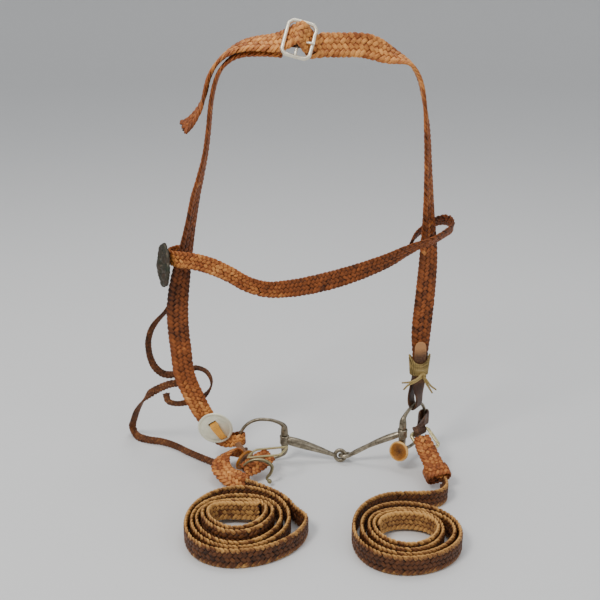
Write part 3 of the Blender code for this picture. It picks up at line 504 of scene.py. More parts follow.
def make_crown():
    """The two headstall straps, and the buckle, tongue and chape that join them at the top."""
    lean = tuple(CROWN.v)
    half = STRAP_W / 2
    rows = [
        (-145.5, 13, -67.5, -0.45, 0.8, 0.4),
        (-137.5, 13, -61.5, -0.3, 0.9, 0.25),
        (-128.2, 13, -48.5, -0.2, 0.97, 0.1),
        (-122.8, 13, -35, 0, 1, 0),
        (-118.5, 13, -20, 0, 1, 0),
        (-110.5, 12.5, -6.5, 0, 1, 0.05),
        (-98.5, 11.5, 4, 0, 0.97, 0.2),
        (-85, 10, 10.2, 0, 0.9, 0.4),
        (-70, 8, 12.6, 0, 0.82, 0.57),
        (-56, 5.5, 13.2, 0, 0.7, 0.7),
        (*CROWN.at(-13.3, -1.8, -5.8), 0.1, 0.5, 0.85),
        (*CROWN.at(-6.4, 2.4, 0.4), *lean),
        (*CROWN.at(0, 4.4, 6.8), *lean),
        (*CROWN.at(6.6, 2.0, 0.4), *lean),
        (*CROWN.at(13.3, -1.2, -6.0), 0.05, 0.12, 1),
        (-10, 0, half, 0, 0, 1),
        (-3, 0, half, 0, 0, 1),
        (12, 0, half, 0, 0, 1),
        (26, 0, half, 0, 0, 1),
        (38, 1.5, half - 2.2, 0, 0.12, 1),
        (50, 4.5, 4.6, 0.1, 0.5, 0.85),
        (62, 9, 0.5, 0.05, 0.85, 0.5),
        (75.5, 12, -5.6, 0, 1, 0.12),
        (85.2, 13, -19, 0, 1, 0),
        (90.8, 12.5, -38.5, 0.05, 1, 0),
        (95.4, 11, -69.5, 0.3, 0.95, 0),
        (98.4, 8, -113, 0.42, 0.9, 0),
        (100.4, 4, -157, 0.62, 0.78, 0),
        (101.6, 1, -196.5, 0.88, 0.47, 0),
        (100.2, 0, -237, 0.95, 0.3, 0),
        (98, -0.5, -277, 0.97, 0.2, 0, 0.96),
        (98, -0.8, -304, 1, 0.1, 0, 0.76),
        (97.6, -0.8, -327, 1, 0, 0, 0.62),
    ]
    # Painted light and shade along the strap: brighter over the crown, darker down the right cheek.
    shade = by_length((0, 60, 120, 290, 360, 500, 600), (0.0, 0.04, 0.26, 0.2, 0.0, -0.08, -0.18))
    strap_piece("right_strap", rows, STRAP_W, STRAP_T, RUSSET, "headstall", ["right_headstall_strap"],
                rim=0.28, shade=shade)
    rows = [
        (-46.5, 8.6, 6.6, 0, 0.8, 0.6),
        (-57, 9.4, 7.2, 0, 0.82, 0.57),
        (-71, 11, 7.2, 0, 0.84, 0.54),
        (-84, 12.5, 4.8, 0, 0.92, 0.38),
        (-95.5, 13.2, -1.2, 0, 0.98, 0.16),
        (-106, 13.6, -11.2, 0, 1, 0.03),
        (-112.5, 14.5, -24.5, 0, 1, 0),
        (-117.6, 17, -45, 0, 1, 0),
        (-121, 20, -69, 0.03, 1, 0),
        (-125.4, 21, -95, 0.08, 1, 0),
        (-131.5, 19.5, -119, 0.2, 0.98, 0),
        (-136.8, 18, -138, 0.3, 0.95, 0),
        (-142.1, 15.5, -163.5, 0.36, 0.93, 0),
        (-146.6, 12, -185, 0.5, 0.87, 0),
        (-152.4, 8, -211, 0.75, 0.66, 0),
        (-157, 4, -238, 0.93, 0.36, 0),
        (-158.8, 1, -266, 1, 0.1, 0),
        (-157, -1, -293.5, 1, 0.05, 0.05),
        (-153, -3, -330, 0.98, 0, 0.2),
        (-137.6, -5.5, -367, 0.86, 0, 0.5, 0.96),
        (-125.6, -6.4, -386, 0.8, 0, 0.6, 0.84),
    ]
    # Painted light and shade along the strap: darker down the middle of the cheek, brighter towards the
    # concho.
    shade = by_length((0, 80, 200, 300, 390, 455), (0.1, 0.0, -0.1, -0.24, -0.02, 0.2))
    strap_piece("left_strap", rows, STRAP_W, STRAP_T, RUSSET, "headstall", ["left_headstall_strap"],
                rim=0.28, shade=shade)

    outline = [CROWN.at(u, v) for u, v in rounded_frame(13.3, 16.4, 6.0, 4)]
    parts = [wire_part(outline, 1.85, closed=True, per=5, sides=16),
             wire_part([CROWN.at(0, v) for v in (-15.6, -8, 0, 8, 15.6)], 1.25)]
    piece("crown_buckle", parts, NICKEL, "headstall", ["crown_buckle_frame"])
    hook = arc(CROWN.at(0, TONGUE_V), CROWN.u, CROWN.n, 2.8, 150, 320, 8)
    prong = [CROWN.at(u, TONGUE_V, n) for u, n in ((4.6, -0.6), (8, 1.6), (11.5, 3.0), (15.5, 3.2))]
    points = np.vstack([hook, prong])
    piece("crown_tongue", [wire_part(points, [1.0] * 11 + [0.7])], NICKEL, "crown_tongue",
          ["crown_buckle_tongue"])
    rows = [tuple(CROWN.at(u, 0, n)) + lean for u, n in
            ((-10, -7.4), (-6, -5.2), (-2.6, -3.0), (0.5, -2.4), (2.25, -0.85),
             (2.25, 0.95), (0.8, 2.25), (-0.95, 2.15), (-2.1, 0.95))]
    piece("crown_chape_leather", [plain_strap(rows, 15.0, 1.2)], DARK, "headstall",
          ["crown_chape"])


def make_browband():
    """The browband, with a loop round each cheek."""
    up = (0, 0.1, 1)
    rows = [
        (-146.5, 24, -196.5, *up, 0.75),
        (-152, 22.6, -196.8, *up, 0.77),
        (-159, 18.6, -197, *up, 0.8),
        (-165.2, 8.6, -197.5, *up, 0.85),
        (-160.5, -3.2, -197, -0.05, -0.1, 1, 0.9),
        (-150.5, -7.6, -197.4, 0.05, -0.1, 1, 0.93),
        (-138.5, -8.2, -198.8, 0.1, -0.1, 1, 0.95),
        (-121, -8, -203.8, 0.2, -0.2, 1),
        (-101.5, -8, -213, 0.3, -0.3, 0.95),
        (-83.5, -9.5, -223, 0.25, -0.3, 0.95),
        (-63, -10.5, -228.2, 0.1, -0.25, 1),
        (-41.5, -11, -227, -0.1, -0.1, 1),
        (-20, -11.5, -223.2, -0.15, 0, 1),
        (2, -12, -217.5, -0.2, 0, 1),
        (24, -12.5, -210.5, -0.25, -0.15, 0.95),
        (46, -13.2, -201.8, -0.3, -0.35, 0.87),
        (60.5, -14.5, -194.8, -0.3, -0.5, 0.8),
        (74.2, -15.5, -186.8, -0.3, -0.66, 0.68),
        (88.5, -17, -179.4, -0.31, -0.77, 0.56, 0.95),
        (101.8, -17, -174.7, -0.28, -0.81, 0.52, 0.92),
        (114.6, -11.5, -168.9, -0.21, -0.82, 0.53, 0.9),
        (123.5, -1.4, -164.9, -0.1, -0.79, 0.61, 0.86),
        (123.2, 9.9, -161.9, 0.05, -0.73, 0.68, 0.82),
        (116.9, 17.6, -162.2, 0.05, -0.67, 0.74, 0.8),
        (107.7, 21, -166, 0, -0.64, 0.77, 0.75),
        (97, 18.8, -172, 0, -0.62, 0.78, 0.7),
        (88, 9.5, -177, 0.11, -0.53, 0.84, 0.6),
        (82.8, -3.5, -181, 0.32, -0.32, 0.89, 0.5),
    ]
    shade = by_length((0, 50, 80, 140, 200, 400), (0.1, 0.16, 0.18, 0.02, -0.13, -0.12))
    strap_piece("browband", rows, BROWBAND_W, BROWBAND_T, RUSSET, "browband", ["browband_strap"],
                step=1.3, rim=0.28, shade=shade)


def make_rosette():
    """The cast rosette at the browband's left end: rings, petals and a beaded rim."""
    axis = (-0.93, -0.35, 0.08)
    profile = [(0.01, 0.2), (20.5, 0.2), (22.4, 0.6), (23, 1.8), (22.6, 3.2), (21.4, 4.2), (19.6, 4.4),
               (18.2, 3.4), (16.6, 3.2), (15.2, 4.4), (13.6, 5.6), (11.8, 6.2), (10, 5.6), (8.8, 5.4),
               (7.8, 6.6), (6.4, 8), (4.4, 9.2), (2.2, 9.8), (0.01, 10)]

    def ripple(r, angle):
        petals = np.abs(np.cos(angle * 4))
        return (2.3 * petals * math.exp(-((r - 16.0) / 3.6) ** 2)
                + 1.8 * np.cos(angle * 8 + 0.4) * math.exp(-((r - 9.2) / 2.0) ** 2)
                + 0.25 * np.sin(angle * 32) * (r > 18))

    def scallop(r, angle):
        return 0.09 * (np.abs(np.cos(angle * 4)) - 0.7) * (r > 14)

    part = lathe_part(profile, (-168.4, 4.6, -206.5), axis, 144, ripple, scallop)
    piece("rosette_disc", [part], BRONZE, "rosette", ["rosette"])


def cut(obj, low, high, plane):
    """Cuts a box, stated in a plane's own directions, out of an object."""
    corners = [plane.at(u, v, n) * MM for u in (low[0], high[0]) for v in (low[1], high[1])
               for n in (low[2], high[2])]
    faces = [(0, 1, 3, 2), (4, 6, 7, 5), (0, 4, 5, 1), (2, 3, 7, 6), (0, 2, 6, 4), (1, 5, 7, 3)]
    mesh = bpy.data.meshes.new("cutter")
    mesh.from_pydata([tuple(c) for c in corners], [], faces)
    cutter = bpy.data.objects.new("cutter", mesh)
    bpy.context.scene.collection.objects.link(cutter)
    modifier = obj.modifiers.new("cut", "BOOLEAN")
    modifier.operation = "DIFFERENCE"
    modifier.object = cutter
    graph = bpy.context.evaluated_depsgraph_get()
    new = bpy.data.meshes.new_from_object(obj.evaluated_get(graph))
    obj.modifiers.clear()
    obj.data = new
    bpy.data.objects.remove(cutter)


def make_concho():
    """The silver button on the left cheek, with the slots that its lace passes through and a dark sheet
    of painted shade behind them.
    """
    plane = Plane((-121.9, -13.4, -386.2), (0.97, -0.05, -0.2), (0.15, -0.12, 0.98))
    profile = [(0.01, -0.9), (17.4, -1.8), (18.6, -1.7), (19.1, -1.1), (18.9, -0.4), (18.2, 0.1),
               (17.2, 0.2), (16.4, -0.2), (15.4, -0.1), (14.6, 0.5), (12.5, 0.8), (9, 1.1), (4.5, 1.3),
               (0.01, 1.35)]

    def ripple(r, angle):
        return 0.16 * np.sin(angle * 48) * (r > 16.9)

    part = lathe_part(profile, plane.centre, plane.n, 192, ripple)
    button = piece("concho", [part], SILVER, "concho", ["left_concho"])
    along = unit(plane.u * 0.72 - plane.v * 0.70)
    slots = Plane(plane.centre, along, np.cross(plane.n, along))
    cut(button, (-9.0, -3.4, -6), (-4.6, 7.0, 6), slots)
    # This long slit beside the lace lets the dark sheet below show as painted shadow.
    cut(button, (-1.0, -3.4, -6), (16.0, -0.9, 6), slots)
    cut(button, (13.6, -1.5, -6), (16.4, 5.0, 6), slots)
    rows = [(*slots.at(u, v, n), *slots.v, share) for u, v, n, share in
            ((-6.6, 2.3, -1.5, 1), (-6.0, 2.3, 0.0, 1), (-3.4, 2.4, 2.5, 1), (2.0, 2.2, 3.3, 0.9),
             (9.0, 1.9, 3.2, 0.78), (13.4, 1.7, 2.2, 0.66), (15.0, 1.6, 0.0, 0.6),
             (15.2, 1.6, -1.3, 0.6))]
    # A dark sheet behind the slots, tone -1.2: painted shade that shows through them.
    back = [(*slots.at(u, 1.0, n), *slots.v) for u, n in ((-10.0, -1.9), (3.0, -1.5), (16.0, -1.9))]
    piece("concho_lace", [plain_strap(rows, 9.8, 1.5), plain_strap(back, 12.0, 0.4, tone=-1.2)], LACE,
          "concho", ["concho_tie"])


# ---- bit

RING_R = 24.5
EYE_R = 5.6  # of the mouthpiece's two linked eyes
SLEEVE_STEPS = 48
TWINE_TURNS = 8
LEFT_PIN = np.array((-47, -7, -402.8))
RIGHT_PIN = np.array((80.5, -19, -388.5))
LINK = np.array((17, -9.5, -420.9))
TURN = math.radians(53)  # the right ring is turned this far about its pin
TURNED = np.array((math.cos(TURN), math.sin(TURN), 0.0))
TURNED_OUT = np.array((TURNED[1], -TURNED[0], 0))
UP = np.array((0, 0, 1.0))


def ring_parts(pin, toward):
    """The egg-shaped ring: a round wire that thickens into the two shoulders of its pin."""
    rows = [(0, 5.6, 3.6), (0, 6.4, 4), (0, 10, 4), (0.1, 13.6, 3.7), (0.8, 16.4, 3),
            (3, 18.8, 2.3), (8, 21.5, 1.95), (15.5, 23.8, 1.8)]
    lower = [(x, -y, r) for x, y, r in rows[::-1]]
    for angle in np.radians(np.linspace(90, -90, 25)):
        rows.append((RING_R + RING_R * math.cos(angle), RING_R * math.sin(angle), 1.8))
    rows += lower
    rows = np.array(rows)
    points = pin + toward * rows[:, :1] + UP * rows[:, 1:2]
    pin_part = wire_part([pin + UP * z for z in (-6.0, -3, 0, 3, 6.0)], 1.8)
    return [wire_part(points, rows[:, 2], sides=20, per=3, up=np.cross(toward, UP)), pin_part]


def cannon_parts(pin, eye_at, chord, eye_plane, arch, slim):
    """Half the mouthpiece: a tapered bar from the sleeve on its pin to the eye at the middle. arch bows
    the bar and slim scales its thick end."""
    root = eye_at - chord * EYE_R
    along = unit(root - pin)
    length = np.linalg.norm(root - pin)
    stops = np.array(((2.6, 4.1), (6, 4.7), (10, 5), (15, 5.1), (22, 4.9), (32, 4.3), (42, 3.5),
                      (length - 8, 2.7), (length - 3, 2.35), (length, 2.2)))
    stops[:7, 1] *= slim
    bend = np.sin(np.pi * stops[:, 0] / length)[:, None] * arch
    bar = wire_part(pin + along * stops[:, :1] + bend, stops[:, 1], sides=24, per=6)
    side = unit(eye_plane - chord * eye_plane.dot(chord))
    eye = wire_part(arc(eye_at, chord, side, EYE_R, 0, 345, 24), 2.1, sides=16, per=3, closed=True)
    profile = [(2.25, -5), (4.6, -5), (5.2, -4.5), (5.35, -3.6), (5, -2.6), (5.15, 0),
               (5, 2.6), (5.35, 3.6), (5.2, 4.5), (4.6, 5), (2.25, 5)]
    points, _, cav, tone = lathe_part(profile, pin, UP, SLEEVE_STEPS)
    return [bar, eye, (points, grid_faces(len(profile), SLEEVE_STEPS, True), cav, tone)]


def make_bit():
    """The two rings and the jointed mouthpiece between them."""
    for side, pin, toward in (("left", LEFT_PIN, np.array((-1, 0, 0))), ("right", RIGHT_PIN, TURNED)):
        piece("ring_" + side, ring_parts(pin, toward), STEEL, "headstall", [side + "_ring"])
    chord = unit(unit(LINK - LEFT_PIN) + unit(RIGHT_PIN - LINK))
    slack = EYE_R / 2 - 0.1
    parts = cannon_parts(LEFT_PIN, LINK - chord * slack, chord, np.array((0, 0.25, 1)), UP, 1.0)
    piece("cannon_left", parts, STEEL, "left_cannon", ["left_cannon"])
    parts = cannon_parts(RIGHT_PIN, LINK + chord * slack, -chord, np.array((0, 1, -0.25)), UP * 2, 0.72)
    piece("cannon_right", parts, STEEL, "right_cannon", ["right_cannon"])


def make_bit_ends():
    """What holds the rings: the left strap's loop, the right strap's tab and its twine."""
    wire = LEFT_PIN - (2 * RING_R, 0, 0)
    rows = [
        (-133, -5.4, -393.5, 0.55, 0, 0.85, 0.9),
        (-123, -6.4, -400.5, 0.35, 0, 0.94),
        (-111.5, -8.6, -404.9, 0.1, 0, 1),
        (wire[0] - 4.5, wire[1] - 3.8, -402.6, -0.1, 0, 1),
        (wire[0] + 1.6, wire[1] - 4.2, -401.5, -0.05, 0, 1),
        (wire[0] + 5.3, wire[1], -401.5, 0, 0, 1),
        (wire[0] + 1.6, wire[1] + 4.2, -401.5, 0.05, 0, 1),
        (wire[0] - 4.5, wire[1] + 3.8, -402.6, 0.1, 0, 1),
        (-110, -3.2, -404.4, 0.1, 0, 1),
        (-121, -2.8, -399.8, 0.25, 0, 1),
    ]
    strap_piece("bit_loop_left", rows, 14.0, 2.6, RUSSET, "headstall", ["left_bit_loop"], over=OVER_6,
                step=0.9, rim=0.3, shade=by_length((0, 25, 38, 50, 80), (0.1, 0.12, 0.4, 0.1, 0)))
    top = RIGHT_PIN + TURNED * RING_R + UP * RING_R
    rows = [
        (97.4, -5.7, -288.2, 1, 0.1, 0, 0.3),
        (97.4, -5.6, -290, 1, 0.1, 0, 0.62),
        (97.5, -5.5, -293.5, 1, 0.08, 0, 0.82),
        (97.6, -5.3, -301, 1, 0.05, 0, 0.88),
        (97.6, -4.9, -318, 1, 0.03, 0, 0.93),
        (97.4, -5.4, -334, 0.97, 0.22, 0, 0.95),
        (*(top + TURNED_OUT * 4.9 + UP * 13), *TURNED),
        (*(top + TURNED_OUT * 4.3 + UP * 1.2), *TURNED, 0.9),
        (*(top - UP * 4.2), *TURNED, 0.85),
        (*(top - TURNED_OUT * 4.3 + UP * 1.2), *TURNED, 0.9),
        (*(top - TURNED_OUT * 4.6 + UP * 13), *TURNED),
        (97.2, 3.6, -334, 0.95, 0.3, 0),
        (97.6, 3.4, -324, 1, 0.05, 0, 0.95),
    ]
    part = plain_strap(rows, 14.4, 2.2, tone=((0, 8, 16, 30), (0.5, 0.4, 0.08, 0)))
    piece("bit_tab_right", [part], DARK, "headstall", ["right_bit_tab"], smooth=180)
    angle = np.linspace(0, TWINE_TURNS * 2 * np.pi, TWINE_TURNS * 90)
    rise = angle / angle[-1]
    c, s = squared(angle, 0.8)
    height = -327 + 18.5 * rise + 4.4 * np.cos(2 * angle) * rise ** 1.4
    wraps = np.stack([97.5 + (8.7 + 2 * rise) * c, -0.8 + (7 + rise) * s, height], -1)
    angle = np.linspace(0, 3.4 * np.pi, 40)
    knot = np.stack([100.4 + 2.9 * np.cos(angle), -10.4 + 1.4 * np.sin(angle * 1.5),
                     -325.6 + 2.3 * np.sin(angle)], -1)
    piece("twine_wraps", two_ply(wraps, 1.15, 4.4) + two_ply(knot, 1.3), TWINE, "headstall",
          ["twine_binding"], smooth=180)
    tails = {
        "left": (((99.5, -11, -324.5), (93, -12.8, -328.5), (86, -13, -331.3), (78.6, -12, -332.4)),
                 ((99.5, -11, -326.5), (92, -13.4, -330.7), (85, -13.2, -334.6), (80.6, -12, -340.4))),
        "right": (((101, -11, -325), (105, -12.6, -330), (109.5, -12.2, -336), (115.6, -11, -341)),
                  ((101.5, -11, -326), (104, -12.2, -332), (107.5, -12, -338), (111.6, -11, -345))),
    }
    for end, (upper, lower) in tails.items():
        parts = [part for line in (catmull(upper, 20), catmull(lower, 20))
                 for part in two_ply(line, np.linspace(1.45, 0.95, len(line)))]
        piece("twine_end_" + end, parts, TWINE, "headstall", ["twine_tail_" + end], smooth=180)


# ---- thongs and reins


def cord_piece(name, rows, width, thick, mat, body, replaced, diameter, lay, **options):
    """A plait along a cord's rows, as one strap piece."""
    obj, path = strap_piece(name, rows, width, thick, mat, body, replaced, **options)
    line = path.at(np.linspace(0, path.length, max(int(path.length / 2.5), 8)))[0] * MM


def make_thongs():
    """The throat thong behind the left cheek, and the thong that runs down to the surface."""
    rows = [
        (-160, 14, -243, 0.3, -0.3, 0.9),
        (-171.5, 13, -259, 0.75, 0.3, 0.6),
        (-186.5, 12, -276, 0.8, 0.5, 0.2),
        (-192.8, 11.5, -292, 0.75, 0.66, 0),
        (-193, 11.5, -308, 0.7, 0.7, 0),
        (-189.5, 12, -321.5, 0.8, 0.6, 0.2),
        (-182.5, 13.5, -331.5, 0.7, 0.5, 0.5),
        (-172, 15.5, -335.5, 0, 0.4, 0.9),
        (-158, 17.5, -332, -0.2, 0.5, 0.8),
        (-143.5, 18.5, -328.5, 0, 0.9, 0.3),
        (-132, 18.5, -334, 0.3, 0.95, 0),
        (-127.6, 18, -347, 0.1, 1, 0),
        (-134.5, 17.5, -360.5, -0.2, 0.9, 0.3),
        (-149, 16, -366.5, 0, 0.3, 0.95),
        (-163, 13.5, -369.5, 0, -0.3, 0.95),
        (-175, 11.5, -366, 0.3, -0.2, 0.9),
        (-177.5, 12.5, -356.5, 0.9, 0, 0.3),
    ]
    cord_piece("thong_loop", rows, 8.0, THONG_T, THONG, "headstall", ["throat_thong"], THONG_CORD,
               "loose", over=OVER_4, step=0.8)
    rows = [
        (-142, 8.5, -343, -0.3, 0.2, 0.9),
        (-157, 8.8, -342.4, -0.2, 0.1, 1),
        (-170.3, 9.5, -343.5, -0.3, 0, 0.95),
        (-186.2, 11.5, -350.7, -0.1, 0, 1),
        (-199.8, 16.5, -362.2, 0.4, 0.1, 0.85),
        (-213.4, 30, -383.8, 0.8, 0.3, 0.4),
        (-221.6, 43, -404.2, 0.85, 0.5, 0.1),
        (-226.3, 53.5, -418, 0.82, 0.55, -0.2),
        (-223.8, 51.5, -426, 0.75, 0.65, 0),
        (-216.4, 40.5, -426, 0.55, 0.65, 0.45),
        (-208.5, 33.5, -424.6, 0.1, 0.3, 0.95),
        (-200, 29.6, -424.1, 0, 0.15, 1),
    ]
    rows += [(x, y, -424.0, 0, 0.1, 1) for x, y in
             ((-188.1, 26.3), (-171.8, 17.0), (-155.2, 3.0),
              (-139.4, -9.4), (-126.4, -18.6), (-119.5, -23.8))]
    cord_piece("thong_run", rows, 8.9, THONG_T, THONG, "headstall", ["thong_end"], THONG_CORD, "loose",
               over=OVER_4, step=0.8)


def smooth_interp(x, events):
    """Hermite interpolation through (x, y) events."""
    xs = np.array([e[0] for e in events], float)
    ys = np.array([e[1] for e in events], float)
    i = int(np.clip(np.searchsorted(xs, x) - 1, 0, len(xs) - 2))
    t = float(np.clip((x - xs[i]) / (xs[i + 1] - xs[i]), 0, 1))
    m0 = (ys[min(i + 1, len(ys) - 1)] - ys[max(i - 1, 0)]) / 2
    m1 = (ys[min(i + 2, len(ys) - 1)] - ys[i]) / 2
    t2, t3 = t * t, t * t * t
    return ((2 * t3 - 3 * t2 + 1) * ys[i] + (t3 - 2 * t2 + t) * m0 + (-2 * t3 + 3 * t2) * ys[i + 1]
            + (t3 - t2) * m1)


def spiral(centre, start, turning, reach_x, reach_y, lifts, stop):
    """Rows of a rein on edge. start is the angle where the spiral begins, turning +1 or -1. reach_x and
    reach_y are (angle travelled, reach along that axis) and lifts are (angle travelled, rise)."""
    rows = []
    for travelled in np.arange(0, stop + 0.1, 15):
        angle = math.radians(start + turning * travelled)
        rows.append((centre[0] + smooth_interp(travelled, reach_x) * math.cos(angle),
                     centre[1] + smooth_interp(travelled, reach_y) * math.sin(angle),
                     REIN_Z + smooth_interp(travelled, lifts), 0, 0, 1))
    return rows


def make_left_rein():
    """The left rein's fastening, its button, and the rein down to its coil."""
    wire = LEFT_PIN + np.array((-RING_R * 1.82, 0, -RING_R * 0.57))
    tie = arc(wire, (-0.82, 0, -0.57), (0, 1, 0), 3.5, -35, -325, 12)
    tail = [wire + np.array(p) for p in ((3.6, -7.0, -3.4), (4.0, -12.5, -3.2))]
    strip = [(-99.5, -9.5, -403, 0.75, 0.1, 0.6, 0.8), (-97.2, -13.5, -405.8, 0.75, 0.1, 0.6),
             (-93, -18.5, -409.8, 0.75, 0.1, 0.6), (-89, -22, -413.2, 0.75, 0.1, 0.6)]
    piece("rein_tie_left", [wire_part(np.vstack([tie[::-1], tail]), 1.35, sides=10),
                            plain_strap(strip, 7.0, 1.8, tone=0.12)], DARK,
          "left_rein", ["left_rein_tie"])
    disc("button_left", (-90.2, -29.0, -415.2), (0.72, -0.62, -0.3), 12.3, "left_button",
         "left_rein_button", 0.08)
    rows = [
        (-94, -17.5, -415.5, 0.3, -0.4, 0.85, 0.6),
        (-100, -20, -411.5, 0.35, -0.5, 0.75, 0.85),
        (-107, -25.5, -408.8, 0.6, -0.5, 0.6),
        (-113.5, -35.5, -410.3, 0.85, -0.3, 0.4),
        (-113.5, -47, -413.8, 1, 0.05, 0.15),
        (-106.5, -58.5, -416.3, 0.85, 0.45, 0.3),
        (-96, -68, -416.9, 0.5, 0.5, 0.75),
        (-84, -76, -417.8, 0.1, 0.2, 1),
    ]
    strap_piece("rein_loop_left", rows, 21.0, 4.2, RUSSET, "left_rein", ["left_rein_loop"], tone=0.12,
                rim=0.3)
    rows = [
        (-62, -31.5, -407.6, 0.66, -0.6, -0.45, 0.85),
        (-70, -38.5, -409.9, 0.66, -0.55, -0.5),
        (-79, -46.5, -412.2, 0.66, -0.5, -0.55),
        (-88.5, -55, -413.4, 0.66, -0.5, -0.5, 0.85),
    ]
    strap_piece("rein_billet_left", rows, 20.0, 3.6, RUSSET, "left_rein", ["left_rein_billet"],
                tone=0.08, rim=0.3)
    plane = Plane((-64.5, -40.7, -399.7), (0.872, -0.381, 0.305), (0.405, 0.914, -0.013))
    outline = [plane.at(u, v) for u, v in rounded_frame(20.5, 9.5, 4.0, 4)]
    piece("rein_buckle_left", [wire_part(outline, 1.2, closed=True, per=5)], BRASS, "left_rein",
          ["left_rein_buckle_frame"])
    hook = [(-89, -52.2, -408.8), (-84.5, -52.5, -404.6), (-78.5, -53, -401.8),
            (-72, -53.5, -401.2), (-64.6, -54, -403.4), (-59.2, -55, -408.6),
            (-60.6, -56, -415.2), (-64.6, -57.6, -420.6), (-62.6, -59.4, -422.6)]
    ball = lathe_part([(0.01, -2.5), (1.3, -2.1), (2.2, -1.2), (2.5, 0), (2.2, 1.2), (1.3, 2.1),
                       (0.01, 2.5)], (-61.8, -60.0, -423.2), (0, 0, 1), 24)
    piece("rein_hook_left", [wire_part(hook, (1.2, 1.3, 1.5, 1.75, 1.85, 1.85, 1.7, 1.5, 1.3)), ball],
          OLIVE, "left_rein_tongue", ["left_rein_buckle_tongue"])
    rows = [(x, y, REIN_Z, 0, 0, 1) for x, y in
            ((-85.0, -78.2), (-74.0, -84.6), (-61.0, -94.0), (-49.2, -103.8),
             (-40.2, -115.6), (-34.4, -127.0), (-27.2, -136.6))]
    reach_x = [(0, 65.2), (180, 48.5), (360, 48.5), (540, 43.2), (720, 41), (900, 38.4),
               (1080, 33), (1260, 32.8), (1440, 27), (1620, 27.8), (1800, 23)]
    reach_y = [(0, 52), (90, 52.4), (270, 52), (450, 47.6), (630, 36.6), (810, 43),
               (990, 26), (1170, 37.6), (1350, 20.6), (1530, 32), (1710, 15.4), (1800, 22)]
    lifts = [(0, 0), (90, 0), (270, 0), (450, 0.2), (630, 0.5), (720, 1), (810, 1.4), (900, 1.5),
             (990, 2), (1080, 6), (1170, 9.6), (1260, 7), (1350, 4.4), (1440, 8), (1530, 10.2),
             (1620, 7.5), (1710, 5), (1800, 8)]
    rows += spiral((-89.0, -143.5), 0, -1, reach_x, reach_y, lifts, 1770)

    # Painted light and shade on the coil's walls: the inner face lighter towards the coil's middle, both
    # faces darker near the lead. edge and rim add painted highlights to the rein's edges.
    def shade(s, side):
        late = np.clip((s - 1050) / 350, 0, 1)
        return late * 0.52 - 0.12 if side > 0 else late * 0.1 - 0.16

    cord_piece("left_rein_braid", rows, REIN_W, REIN_T, REIN, "left_rein",
               ["left_rein_lead", "left_rein_coil"], REIN_CORD, "coiled", edge=0.42, rim=0.42,
               shade=shade)


